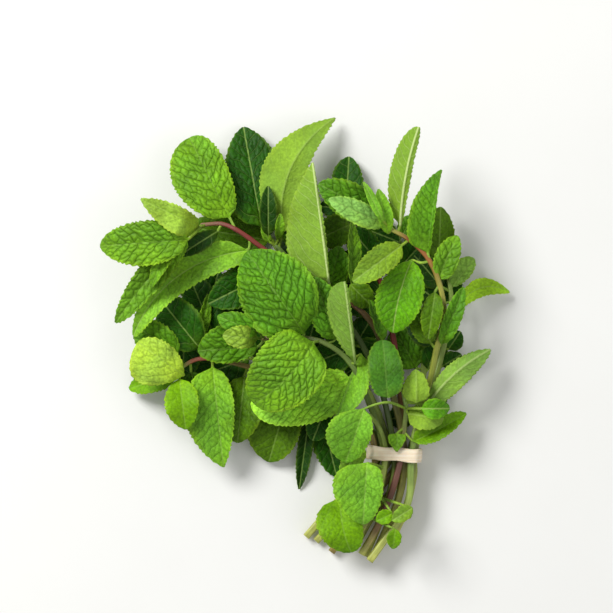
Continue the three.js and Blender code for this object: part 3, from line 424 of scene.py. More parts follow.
def solid_stations(shape, root, number):
    """The corners of a solid leaf, station by station, before it is lifted."""
    axes = leaf_frame(shape)
    stalk = stalk_route(shape, root, axes)
    up = UP * axes["turned"] * STALK_THICKNESS / 2
    stations = []
    for k in range(len(stalk) - 1):
        half = left_of(stalk[k + 1] - stalk[max(0, k - 1)]) * axes["turned"] * PETIOLE_WIDTH / 2
        corners = [stalk[k] + across + rise for across in (half, -half) for rise in (up, -up)]
        stations.append({"middle": stalk[k], "corners": corners})
    for s, reach in solid_edge_places(shape):
        middle = midrib(shape, axes, s)
        wave = WAVE_HEIGHT * shape["wide"] * outline(s, shape)
        corners = [middle + axes["up"] * BLADE_THICKNESS / 2 * turn for turn in (1, -1)]
        for sign in (1, -1):
            half = shape["wide"] / 2 * (1 + sign * shape["lean"]) * outline(s, shape) * reach
            half = max(PETIOLE_WIDTH / 2, half)
            lift = half * math.sin(axes["fold"])
            lift += wave * math.sin(2 * math.pi * WAVE_TURNS * s + number + sign)
            edge = middle + axes["side"] * sign * half * math.cos(axes["fold"]) + axes["up"] * lift
            corners += [edge + axes["up"] * RIM_THICKNESS / 2 * turn for turn in (1, -1)]
        stations.append({"middle": middle, "corners": corners})
    return stations


def reaches(points):
    """Level distance of each point from the first."""
    points = np.array(points)
    steps = np.hypot(*(points[1:, :2] - points[:-1, :2]).T)
    return np.concatenate([[0.0], np.cumsum(steps)])


class Heights:
    """Finds how far the solids lifted a point of the plan."""

    def __init__(self, node):
        points = np.array([v.co for v in node.data.vertices], float) / MM
        self.points = points[np.argsort(points[:, 0])]

    def lifts_over(self, corner):
        x = self.points[:, 0]
        low, high = np.searchsorted(x, [corner[0] - SAME_PLACE, corner[0] + SAME_PLACE])
        found = self.points[low:high]
        found = found[np.abs(found[:, 1] - corner[1]) < SAME_PLACE]
        return [z - corner[2] for z in found[:, 2] if z > OFF_FLOOR]

    def lift_of(self, corners):
        lifts = [lift for corner in corners for lift in self.lifts_over(corner)]
        return float(np.median(lifts)) if lifts else math.nan


def filled(distances, lifts):
    """Lifts with the missing ones read off between their neighbours."""
    lifts = np.array(lifts, float)
    known = ~np.isnan(lifts)
    if not known.any():
        return np.zeros(len(lifts))
    return np.interp(distances, np.array(distances)[known], lifts[known])


def smooth_between(xs, ys, x):
    """A smooth curve through the points that doesn't overshoot."""
    xs, ys, x = (np.array(a, float) for a in (xs, ys, x))
    spans = np.maximum(np.diff(xs), 1e-6)
    rises = np.diff(ys) / spans
    slopes = np.zeros(len(xs))
    inner = rises[1:] * rises[:-1] > 0
    slopes[1:-1][inner] = 2 * rises[1:][inner] * rises[:-1][inner] / (rises[1:] + rises[:-1])[inner]
    slopes[0], slopes[-1] = rises[0], rises[-1]
    k = np.clip(np.searchsorted(xs, x, side="right") - 1, 0, len(xs) - 2)
    t = np.clip((x - xs[k]) / spans[k], 0, 1)
    return (
        ys[k] * (1 + 2 * t) * (1 - t) ** 2 + spans[k] * slopes[k] * t * (1 - t) ** 2
        + ys[k + 1] * t ** 2 * (3 - 2 * t) - spans[k] * slopes[k + 1] * t ** 2 * (1 - t)
    )


# ---------- fine leaves

BLADE = 0.34  # mm, thickness of a real leaf
GRID = 0.42  # mm between the points of a blade
COARSE_GRID = 0.54  # mm, for the dark leaves low in the heap
COARSE_KINDS = (DEEP, DARK, OLIVE)
FEWEST_ROWS = 16  # of points along a blade
FEWEST_COLUMNS = 6  # on each side of its midrib
END_GAP = 0.003  # share of the length left off at each end, where the width is zero
FOOT_SPREAD = 0.05  # share of the length in which a blade widens from its petiole
TOOTH_LENGTH = 2.3  # mm along the edge
TOOTH_DEPTH = 0.75  # mm, at most
TOOTH_SHARE = 0.05  # of the leaf's width, for small leaves
TOOTH_PEAK = 0.72  # share of a tooth in which its edge rises
TOOTHLESS = (0.12, 0.03)  # shares of the length where teeth fade out: base, tip
EDGE_SWAY = 0.02  # of the width, a slow wave of the outline
EDGE_POWER = 6  # how soon the teeth fade towards the midrib
STALK_HALF = (0.62, 0.5)  # half width and half height of a petiole
STALK_STEPS = 7  # rings of a petiole between two points of its route
STALK_LEAD = 0.12  # place on the midrib that a petiole aims at
RIB_HEIGHT = 0.45  # mm that the midrib stands out under the leaf
RIB_HALF = 0.5
GROOVE_DEPTH = 0.8  # mm that it is sunk on the upper face
GROOVE_HALF = 0.8
VEIN_SPACING = 4.4  # mm along the midrib
VEIN_COUNT = (4, 10)  # fewest and most on each side of a leaf
VEIN_SLOPE = 0.72  # forward run of a side vein for each mm outwards
VEIN_CURVE = 0.26  # further run at the edge, of the half width
VEIN_HALF = 0.62  # mm, half width of the groove over a side vein
VEIN_STRAY = 0.2  # of the spacing, how far veins wander
CELL = 3.1  # mm between the small veins that cross to the next side vein
CELL_HALF = 0.5  # mm, half width of the groove over one of them
CELL_STRAY = 0.4
CELL_SKEW = 0.35  # how far a small vein leans, in small veins
VEIN_SLANT = 1.25  # length of a side vein against the width that it crosses
PUFF = 0.9  # mm, how far a leaf 25 mm wide puffs up between its veins
PUFF_WIDTH = 25
FLAT_EDGE = 0.85  # share of the half width beyond which a leaf puffs up less
FOLD_POWER = 1.15  # 1 for two flat halves
HALF_ROUND = 0.05  # of the half width, how far each half is rounded
EDGE_THINNER = 0.35  # thickness at the rim against the middle
GROWN_ROWS = 6  # rows in which the oval petiole turns into the blade
LOWEST_TOP = 0.3  # mm above the floor
LOWEST_BOTTOM = 0.02
MARGIN_TONE = (146, 180, 44)
STALK_TONE = (124, 156, 58)
WARMER = (1.5, 1.25, 0.8)  # factors of red, green and blue at a margin


class Surface:
    """Points, four-sided faces and point data of one sprig, gathered from its stem and leaves."""

    def __init__(self):
        self.points = []
        self.quads = []
        self.slots = []
        self.data = {"tone": [], "vein": [], "spot": []}
        self.count = 0

    def add(self, points, quads, slot, **data):
        points = np.asarray(points, float).reshape(-1, 3)
        self.points.append(points)
        self.quads.append(np.asarray(quads) + self.count)
        self.slots.append(np.full(len(quads), slot))
        for name, values in self.data.items():
            given = np.asarray(data[name], float).reshape(-1, 3)
            values.append(np.broadcast_to(given, points.shape))
        self.count += len(points)

    def make(self, name, materials):
        mesh = mesh_of(name, np.concatenate(self.points), np.concatenate(self.quads), materials)
        mesh.polygons.foreach_set("material_index", np.concatenate(self.slots).astype(np.int32))
        for kind, values in self.data.items():
            attribute = mesh.attributes.new(kind, "FLOAT_VECTOR", "POINT")
            attribute.data.foreach_set("vector", np.concatenate(values).ravel().astype(np.float32))
        mesh.update()
        return placed(name, mesh)


def mesh_of(name, points, quads, materials):
    """A smooth mesh of four-sided faces from points in millimetres."""
    mesh = bpy.data.meshes.new(name)
    mesh.vertices.add(len(points))
    mesh.vertices.foreach_set("co", (points * MM).astype(np.float32).ravel())
    mesh.loops.add(quads.size)
    mesh.loops.foreach_set("vertex_index", quads.astype(np.int32).ravel())
    mesh.polygons.add(len(quads))
    mesh.polygons.foreach_set("loop_start", np.arange(0, quads.size, 4, dtype=np.int32))
    mesh.polygons.foreach_set("use_smooth", np.ones(len(quads), bool))
    for material in materials:
        mesh.materials.append(material)
    mesh.update(calc_edges=True)
    return mesh


def placed(name, data):
    """A new object in the scene."""
    thing = bpy.data.objects.new(name, data)
    bpy.context.scene.collection.objects.link(thing)
    return thing


def cap_quads(ring):
    """Faces that close a ring with an even number of points."""
    ring = list(ring)
    return [(ring[i], ring[i + 1], ring[-2 - i], ring[-1 - i]) for i in range(len(ring) // 2 - 1)]


def linear(colour):
    """A screen colour as linear light."""
    share = np.array(colour, float) / 255
    return np.where(share <= 0.04045, share / 12.92, ((share + 0.055) / 1.055) ** 2.4)


def normals_of(grid):
    """Unit normals of a grid of points, station by column."""
    along = np.gradient(grid, axis=0)
    across = np.gradient(grid, axis=1)
    normal = np.cross(along, across)
    return normal / np.maximum(np.linalg.norm(normal, axis=2, keepdims=True), 1e-9)


def ripple(x, y, seed):
    """Smooth noise between about -1 and 1 over places in millimetres: five crossing waves."""
    total = 0
    for k in range(5):
        turn = 2.4 * k + seed
        pace = 0.7 + 0.35 * k
        start = 7.3 * seed * (k + 1)
        total = total + np.sin(pace * (x * math.cos(turn) + y * math.sin(turn)) + start)
    return total / 3.5


def jumble(number, seed):
    """An unordered value from 0 to 1 for each whole number."""
    value = np.sin(number * 12.9898 + seed * 78.233) * 43758.5453
    return value - np.floor(value)


def ramp(value, span):
    """From 0 to 1 while a value grows from 0 to the span."""
    return np.clip(value / span, 0, 1)


def hill(distance, half):
    """1 at no distance, falling off smoothly over about the half width."""
    return np.exp(-(distance / half) ** 2)


def leaf_lifts(shape, root, number, root_lift, heights):
    """Lift of a leaf against the level distance from its root, read from the solids."""
    stations = solid_stations(shape, root, number)
    distances = reaches([station["middle"] for station in stations])
    lifts = [heights.lift_of(station["corners"]) for station in stations]
    lifts[0] = root_lift
    return distances, filled(distances, lifts)


def blade_grid(shape, seed):
    """Places s along and t across a blade, with its half width at each of them."""
    width = shape["wide"]
    length = leaf_frame(shape)["length"]
    grid = COARSE_GRID if shape["kind"] in COARSE_KINDS else GRID
    rows = max(FEWEST_ROWS, round(length / grid))
    half_columns = max(FEWEST_COLUMNS, round(width / 2 / grid))
    s = (END_GAP + (1 - 2 * END_GAP) * np.linspace(0, 1, rows))[:, None]
    t = (np.arange(-half_columns, half_columns + 1) / half_columns)[None, :]
    sign = np.where(t < 0, -1.0, 1.0)

    full = width / 2 * (1 + sign * shape["lean"]) * outline(s, shape)
    spread = np.minimum(1, s / FOOT_SPREAD) ** 0.6
    half = STALK_HALF[0] + np.maximum(full - STALK_HALF[0], 0) * spread

    # Each tooth rises slowly towards the tip of the leaf and drops back in a short step.
    tooth = s * length / TOOTH_LENGTH + 0.35 * sign + seed
    tooth = tooth + 0.25 * np.sin(1.7 * tooth + 5 * seed)
    phase = tooth - np.floor(tooth)
    saw = np.where(phase < TOOTH_PEAK, phase / TOOTH_PEAK, (1 - phase) / (1 - TOOTH_PEAK))
    depth = min(TOOTH_DEPTH, TOOTH_SHARE * width) * (0.7 + 0.6 * jumble(np.floor(tooth), seed))
    fade = ramp(s, TOOTHLESS[0]) * ramp(1 - s, TOOTHLESS[1])
    sway = EDGE_SWAY * width * np.sin(5 * s + 9 * seed + sign)
    edge = (depth * (saw - 0.7) + sway) * fade
    lateral = half * np.abs(t) + edge * np.abs(t) ** EDGE_POWER
    return s, t, sign, half, lateral


def blade_relief(shape, s, t, sign, half, seed):
    """Coordinates, whole numbers on side veins and on small veins, and the puffs, 0 to 1."""
    length = leaf_frame(shape)["length"]
    x = s * length
    y = np.abs(t) * half
    spacing = length / np.clip(round(length / VEIN_SPACING), *VEIN_COUNT)
    slope = VEIN_SLOPE * (0.25 + 0.75 * ramp(s, 0.35))
    run = slope * y + VEIN_CURVE * y ** 2 / (shape["wide"] / 2)
    vein = (x - run) / spacing + 0.2 * sign + VEIN_STRAY * ripple(0.6 * x, 0.6 * sign * y, seed)
    strip = np.floor(vein)
    cell = y * VEIN_SLANT / CELL + jumble(strip, seed + sign)
    cell = cell + CELL_STRAY * ripple(0.9 * x, 0.8 * sign * y, seed + 2)
    cell = cell + CELL_SKEW * (vein - strip) * np.where(strip % 2 == 0, 1, -1)
    vein_gap = np.abs(vein - np.round(vein)) * spacing / VEIN_SLANT
    cell_gap = np.abs(cell - np.round(cell)) * CELL / VEIN_SLANT
    top = (1 - hill(vein_gap, VEIN_HALF)) * (1 - 0.75 * hill(cell_gap, CELL_HALF))
    dome = 0.72 + 0.28 * np.abs(np.sin(np.pi * vein) * np.sin(np.pi * cell))
    puff = top * dome * (0.85 + 0.25 * ripple(0.6 * x, 0.6 * sign * y, seed + 5))
    return vein, cell, np.clip(puff, 0, 1)


def add_leaf(surface, shape, root, number, root_lift, heights, random):
    axes = leaf_frame(shape)
    width = shape["wide"]
    seed = float(random[0])
    distances, lifts = leaf_lifts(shape, root, number, root_lift, heights)
    s, t, sign, half, lateral = blade_grid(shape, seed)
    columns = t.size
    size = np.abs(t)

    # The petiole is one smooth curve from the root to the base of the blade.
    stalk = stalk_route(shape, root, axes)
    guide = stalk + [midrib(shape, axes, STALK_LEAD)]
    stalk_rows = STALK_STEPS * (len(stalk) - 1)
    stalk_middles = [place_on(guide, k / STALK_STEPS) for k in range(stalk_rows)]
    middles = np.array(stalk_middles + [midrib(shape, axes, place) for place in s[:, 0]])
    middles[:, 2] += smooth_between(distances, lifts, reaches(middles))

    # Rise of the blade above its midrib: the fold, the waves of the solid, veins and puffs.
    fold = axes["fold"]
    vein, cell, puff = blade_relief(shape, s, t, sign, half, seed)
    _, quilt, veined = shape["kind"]
    quilt = quilt * min(1.2, math.sqrt(width / PUFF_WIDTH)) * (0.85 + 0.3 * random[1])
    ends = np.sin(np.pi * np.clip(s, 0.02, 0.98)) ** 0.4
    margin = 1 - 0.6 * ramp(size - FLAT_EDGE, 1 - FLAT_EDGE)
    y = size * half
    rise = half * math.sin(fold) * size ** FOLD_POWER
    rise = rise + HALF_ROUND * half * np.sin(math.pi * size)
    waves = np.sin(2 * math.pi * WAVE_TURNS * s + number + sign)
    rise = rise + WAVE_HEIGHT * width * outline(s, shape) * waves * size ** 2
    rise = rise + PUFF * quilt * (puff - 0.5) * ends * margin * ramp(y, GROOVE_HALF)
    rise = rise - GROOVE_DEPTH * quilt * hill(y, GROOVE_HALF) * (1 - s)
    rise = rise + 0.02 * half * size ** 3 * ripple(0.35 * s * axes["length"], 3 * sign, seed + 1)
    blade = (
        middles[stalk_rows:, None] + axes["side"] * (sign * lateral * math.cos(fold))[:, :, None]
        + axes["up"] * rise[:, :, None]
    )

    # The petiole has the same columns, as the two halves of an oval.
    tangents = np.gradient(middles, axis=0)
    petiole = np.zeros((stalk_rows, columns, 3))
    for k in range(stalk_rows):
        share = (k / stalk_rows) ** 2
        across = left_of(tangents[k]) * axes["turned"] * (1 - share) + axes["side"] * share
        petiole[k] = middles[k] + unit(across) * (STALK_HALF[0] * t[0])[:, None]
    grid = np.concatenate([petiole, blade])
    rows = len(grid)
    normals = normals_of(grid)
    normals *= np.sign((normals[rows // 2, columns // 2] * axes["up"]).sum())

    # Both faces: the petiole is oval, the blade thin, with its midrib standing out below.
    grown = ramp(np.arange(rows) - stalk_rows + 1, GROWN_ROWS)[:, None]
    oval = STALK_HALF[1] * np.sqrt(np.clip(1 - size ** 2, 0, 1))
    thick = BLADE / 2 * np.clip((1 - size) * 6, EDGE_THINNER, 1)
    taper = np.concatenate([np.ones((stalk_rows, 1)), 1 - 0.75 * s])
    far_out = np.full((stalk_rows, columns), 9.0)
    rib = RIB_HEIGHT * hill(np.concatenate([far_out, y]), RIB_HALF) * taper
    upper = oval * (1 - grown) + thick * grown
    lower = oval * (1 - grown) + (thick + rib) * grown
    top = grid + normals * upper[:, :, None]
    bottom = grid - normals * lower[:, :, None]
    top[:, :, 2] = np.maximum(top[:, :, 2], LOWEST_TOP)
    bottom[:, :, 2] = np.maximum(bottom[:, :, 2], LOWEST_BOTTOM)

    # Point data for the material: colour, vein coordinates and place on the leaf.
    tone = leaf_colours(shape, s, size, puff, quilt, random[2])
    stalk_tone = np.ones((stalk_rows, columns, 3)) * linear(STALK_TONE)
    tone = np.concatenate([stalk_tone, tone])
    veins = np.full((rows, columns, 3), 0.5)
    veins[stalk_rows:] = np.stack([vein, cell, y], axis=2)
    spot = np.zeros((2, rows, columns, 3))
    spot[:, :, :, 0] = veined
    spot[:, stalk_rows:, :, 1] = min(1.0, quilt) * margin * ends
    spot[1, :, :, 2] = 1
    surface.add(
        [top, bottom], leaf_quads(rows, columns), 0,
        tone=[tone, tone], vein=[veins, veins], spot=spot,
    )


def leaf_quads(rows, columns):
    """Faces of two sheets of the same size, one over the other, and of the rim between them."""
    under = rows * columns
    corner = (np.arange(rows - 1)[:, None] * columns + np.arange(columns - 1)).ravel()
    upper = np.stack([corner, corner + columns, corner + columns + 1, corner + 1], axis=1)
    lower = upper[:, ::-1] + under
    left = np.arange(rows - 1) * columns
    right = left + columns - 1
    left_rim = np.stack([left, left + under, left + under + columns, left + columns], axis=1)
    right_rim = np.stack([right + columns, right + under + columns, right + under, right], axis=1)
    first = np.arange(columns)
    last = first + under - columns
    root_cap = cap_quads([*first, *(first[::-1] + under)])
    tip_cap = cap_quads([*last, *(last[::-1] + under)])
    return np.concatenate([upper, lower, left_rim, right_rim, root_cap, np.array(tip_cap)[:, ::-1]])


def leaf_colours(shape, s, size, puff, quilt, chance):
    """Colour of a blade: painted shade that darkens it in its grooves, and warmer at its base and
    margin.
    """
    tone = linear(shape["kind"][0]) * (0.92 + 0.16 * chance)
    warm = 0.35 * linear(MARGIN_TONE) + 0.65 * tone * WARMER
    # Painted shade: darker down in the grooves, lighter on the puffs between them.
    light = 1.08 - 0.34 * min(1.0, quilt) * (1 - puff)
    base = ramp(0.25 - s, 0.25) * np.clip(1 - size, 0, 1)
    margin = ramp(size - 0.8, 0.2)
    share = np.clip(0.5 * base + 0.6 * margin, 0, 1)[:, :, None]
    return light[:, :, None] * tone * (1 - share) + warm * share


# ---------- fine stems

STEM_STEPS = 6  # rings between two points of a route
STEM_SIDES = 16  # points of a ring
STEM_FIT = 0.96  # thickness against the solid stem
STEM_SQUARENESS = 5  # 2 for a round stem, more for a squarer one
STEM_GROOVE = 0.09  # of its thickness, between the rounded corners
NODE_SWELL = 0.096  # of its thickness, where leaves grow
NODE_REACH = 0.13  # length of a swelling, in places of the route
PITH_DEPTH = 0.5  # mm
CUT_RINGS = (0.25, 0.88)  # sizes of the rings at the cut end: its pith and its rim
TIP_RINGS = (0.7, 0.3)  # sizes of the rings that round off the growing tip
TIP_STEPS = (0.5, 0.7)  # mm that they lie ahead
GREEN_STEM = (122, 152, 66)
MOSS_STEM = (130, 150, 60)
STRAW_STEM = (176, 180, 88)
SHADE_STEM = (84, 110, 40)
PURPLE_STEM = (112, 40, 30)
BROWN_STEM = (108, 68, 52)
TAN_STEM = (146, 128, 66)
CUT_END = (206, 200, 140)

# Colour of each stem from the cut end to the tip: (place on the route, colour).
STEM_COLOURS = {
    "sprig_04": [
        (0, TAN_STEM), (3, TAN_STEM), (5, PURPLE_STEM), (7, PURPLE_STEM), (9, GREEN_STEM),
    ],
    "sprig_05": [
        (0, TAN_STEM), (8.5, TAN_STEM), (9.3, PURPLE_STEM), (10.3, (150, 78, 50)),
        (10.9, GREEN_STEM),
    ],
    "sprig_06": [(0, STRAW_STEM), (2, MOSS_STEM), (3.2, (70, 90, 30)), (9, SHADE_STEM)],
    "sprig_08": [
        (0, STRAW_STEM), (3, (128, 120, 60)), (6, (90, 96, 40)), (10, PURPLE_STEM),
        (12.6, PURPLE_STEM), (14, (120, 90, 60)),
    ],
    "sprig_09": [
        (0, STRAW_STEM), (3, MOSS_STEM), (5, SHADE_STEM), (8, (100, 120, 50)), (10, TAN_STEM),
    ],
    "sprig_10": [
        (0, STRAW_STEM), (4, GREEN_STEM), (6, (140, 150, 56)), (9, (150, 148, 60)),
        (10, (152, 98, 44)), (11, (132, 70, 36)), (11.6, (160, 150, 64)), (12, (168, 180, 78)),
    ],
    "sprig_11": [
        (0, STRAW_STEM), (1, (130, 104, 66)), (1.8, BROWN_STEM), (3.6, BROWN_STEM),
        (6, GREEN_STEM),
    ],
}
PLAIN_STEM = [(0, STRAW_STEM), (1.5, (166, 174, 80)), (3, MOSS_STEM), (12, GREEN_STEM)]


def stem_section(size):
    """Corners and grooved sides of a square mint stem, as points round its middle."""
    turns = np.arange(STEM_SIDES) * 2 * math.pi / STEM_SIDES
    square = np.abs(np.cos(turns)) ** STEM_SQUARENESS + np.abs(np.sin(turns)) ** STEM_SQUARENESS
    groove = 1 - STEM_GROOVE * np.cos(4 * turns).clip(0, 1)
    radius = size / 2 * square ** (-1 / STEM_SQUARENESS) * groove
    turns = turns + math.radians(STEM_ROLL)
    return np.cos(turns) * radius, np.sin(turns) * radius


def tube_quads(rings, sides, closed=False):
    """Faces along a tube of rings with the same number of points."""
    faces = []
    for k in range(rings if closed else rings - 1):
        for j in range(sides):
            here, beside = k * sides + j, k * sides + (j + 1) % sides
            onwards = (k + 1) % rings * sides - k * sides
            faces.append((here, beside, beside + onwards, here + onwards))
    return faces


def add_stem(surface, sprig, points, lifts, leaf_places):
    spans = len(points) - 1
    solid_places = np.arange(spans * STEPS_PER_SPAN + 1) / STEPS_PER_SPAN
    places = np.arange(spans * STEM_STEPS + 1) / STEM_STEPS
    rise = smooth_between(solid_places, lifts, places)

    def ring_at(on, lift, scale=1.0):
        middle = place_on(points, on) + UP * lift
        side = left_of(direction_on(points, on))
        swell = max([hill(on - place, NODE_REACH) for place in leaf_places], default=0)
        size = stem_size(sprig, on / spans) * STEM_FIT * (1 + NODE_SWELL * swell) * scale
        across, upwards = stem_section(size)
        return middle + side * across[:, None] + UP * upwards[:, None]

    # The cut end is flat and pale with a small hollow pith. The growing tip is rounded off.
    back = unit(place_on(points, 0) - place_on(points, ON_STEP))
    pith, rim = [ring_at(places[0], rise[0], scale) for scale in CUT_RINGS]
    rings = [pith - back * PITH_DEPTH, rim]
    rings += [ring_at(on, lift) for on, lift in zip(places, rise)]
    for scale, step in zip(TIP_RINGS, TIP_STEPS):
        rings.append(ring_at(places[-1], rise[-1], scale) + direction_on(points, spans) * step)

    colours = STEM_COLOURS.get(sprig["name"], PLAIN_STEM)
    keys = np.array([place for place, _ in colours], float)
    shades = np.array([linear(shade) for _, shade in colours])
    hue = np.stack([np.interp(places, keys, shades[:, c]) for c in range(3)], axis=1)
    cut = linear(CUT_END)
    tones = np.concatenate([[cut * 0.8, cut], hue, hue[-1:], hue[-1:]])

    faces = tube_quads(len(rings), STEM_SIDES)
    top = (len(rings) - 1) * STEM_SIDES
    faces += cap_quads(range(STEM_SIDES)[::-1])
    faces += cap_quads(range(top, top + STEM_SIDES))
    spot = np.zeros((len(rings), STEM_SIDES, 3))
    spot[:, :, 0] = np.concatenate([[0, 0], places, [spans, spans]])[:, None]
    spot[:, :, 1] = np.arange(STEM_SIDES) / STEM_SIDES
    tone = np.repeat(tones, STEM_SIDES, axis=0)
    surface.add(rings, faces, 1, tone=tone, vein=(0, 0, 0), spot=spot)


def stem_lifts(sprig, points, heights):
    """Lift of every ring of a solid stem."""
    count = (len(points) - 1) * STEPS_PER_SPAN
    places = [k / STEPS_PER_SPAN for k in range(count + 1)]
    turns = [math.radians(45 + STEM_ROLL + 90 * corner) for corner in range(4)]
    lifts = []
    for k, on in enumerate(places):
        middle = place_on(points, on)
        side = left_of(direction_on(points, on))
        radius = stem_size(sprig, k / count) * math.sqrt(0.5)
        lifts.append(heights.lift_of([
            middle + (side * math.cos(turn) + UP * math.sin(turn)) * radius for turn in turns
        ]))
    return filled(places, lifts)


def make_sprig(sprig, frame, materials):
    points = [np.array(point, float) for point in sprig["stem"]]
    heights = Heights(frame["nodes"][sprig["name"]])
    lifts = stem_lifts(sprig, points, heights)
    leaves = [
        pair_leaf(points, on, reach, sign) for on, reach in sprig["pairs"] for sign in (1, -1)
    ] + sprig["leaves"]
    surface = Surface()
    add_stem(surface, sprig, points, lifts, [shape["on"] for shape in leaves])
    generator = np.random.default_rng(int(sprig["name"][-2:]))
    for number, shape in enumerate(leaves):
        root = place_on(points, shape["on"])
        root_lift = np.interp(shape["on"] * STEPS_PER_SPAN, np.arange(len(lifts)), lifts)
        add_leaf(surface, shape, root, number, root_lift, heights, generator.random(3))
    piece = surface.make(sprig["name"] + "_fine", materials)
    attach(piece, "root")
    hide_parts(sprig["name"])
    return piece


# ---------- rubber band

BAND_CORNERS = [
    (-10.2, 0), (10.2, 0), (12.7, 5.3), (12.7, 9.8),
    (10.6, 15.3), (-6.6, 15.3), (-12.7, 9.8), (-12.7, 5.3),
]
BAND_ROUNDING = 2.4  # mm of each side that a rounded corner takes, at most
BAND_ROUNDING_SHARE = 0.45  # of a short side
BAND_DEPTH = 1.1  # mm, just inside the thickness of the solid
BAND_EDGE = 0.3  # mm, rounding of the band's own edges
BAND_TOP = 10  # mm above the floor, where its sides turn into its top
BAND_SHOULDER = 4  # mm higher, where they have turned
BAND_SHIFT = 0.25  # mm that its top weaves
BAND_DIP = 0.12  # mm, a crease across its top
BAND_NARROWING = 0.05  # of its width, beside the crease


def rounding_end(corner, other):
    """Where the rounding of a corner ends on the side towards another corner."""
    far = np.linalg.norm(other - corner)
    return corner + (other - corner) * min(BAND_ROUNDING_SHARE, BAND_ROUNDING / far)


def band_route():
    """Points round the outside of the band, with rounded corners, and the way outwards."""
    corners = np.array(BAND_CORNERS, float)
    points = []
    for k, here in enumerate(corners):
        after = corners[(k + 1) % len(corners)]
        start, end = rounding_end(here, corners[k - 1]), rounding_end(here, after)
        for share in np.linspace(0, 1, 7):
            bend = 2 * share * (1 - share) * here
            points.append((1 - share) ** 2 * start + bend + share ** 2 * end)
        finish = rounding_end(after, here)
        for share in np.linspace(0, 1, 8)[1:-1]:
            points.append(end + (finish - end) * share)
    points = np.array(points)
    way = np.roll(points, -1, axis=0) - np.roll(points, 1, axis=0)
    outwards = np.stack([way[:, 1], -way[:, 0]], axis=1)
    return points, outwards / np.linalg.norm(outwards, axis=1, keepdims=True)


def band_section():
    """The section of the band: (across its width, from the outer face inwards)."""
    half, depth, edge = BAND_WIDTH / 2, BAND_DEPTH, BAND_EDGE
    section = []
    for x, y, start in ((half, depth, 90), (-half, depth, 180), (-half, 0, 270), (half, 0, 0)):
        centre = (x - math.copysign(edge, x), y - edge if y else edge)
        for step in range(3):
            turn = math.radians(start + 45 * step)
            section.append((centre[0] + edge * math.cos(turn), centre[1] + edge * math.sin(turn)))
    flat = [(-half + edge + (2 * (half - edge)) * k / 5, 0) for k in range(1, 5)]
    return section[:9] + flat + section[9:]


def make_band(material):
    route, outwards = band_route()
    section = band_section()
    slant = math.radians(BAND_SLANT)
    points = []
    for here, out in zip(route, outwards):
        on_top = ramp(here[1] - BAND_TOP, BAND_SHOULDER)
        shift = BAND_SHIFT * math.sin(here[0] * 0.5 + 1) * on_top
        narrow = 1 - BAND_NARROWING * hill(here[0] + 2, 5) * on_top
        for across, inwards in section:
            dip = BAND_DIP * hill(here[0] + 1.5 - 0.6 * across, 1.4) * on_top
            flat = here - out * (inwards + dip * (inwards < BAND_DEPTH / 2))
            x, y = flat[0], across * narrow + shift
            points.append((
                x * math.cos(slant) - y * math.sin(slant),
                x * math.sin(slant) + y * math.cos(slant), flat[1],
            ))
    faces = np.array(tube_quads(len(route), len(section), closed=True))
    mesh = mesh_of("rubber_band_fine", np.array(points), faces, [material])
    piece = placed("rubber_band_fine", mesh)
    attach(piece, "root")
    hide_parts("rubber_band")
    return piece


# ---------- materials

VEIN_TONE = (150, 180, 90)
UNDER_TONE = (126, 160, 56)
UNDER_VEIN_TONE = (190, 208, 136)
# Painted shade: multiplied into a leaf's colour along the groove lines over its veins.
PAINTED_GROOVE_SHADE = (0.6, 0.74, 0.5, 1.0)
WARM_TINT = (1.12, 1.03, 0.7, 1.0)
BAND_TONES = ((240, 220, 188), (250, 236, 212))
BAND_STAIN = (214, 186, 146)
FLOOR_TONES = ((226, 226, 222), (232, 232, 229))


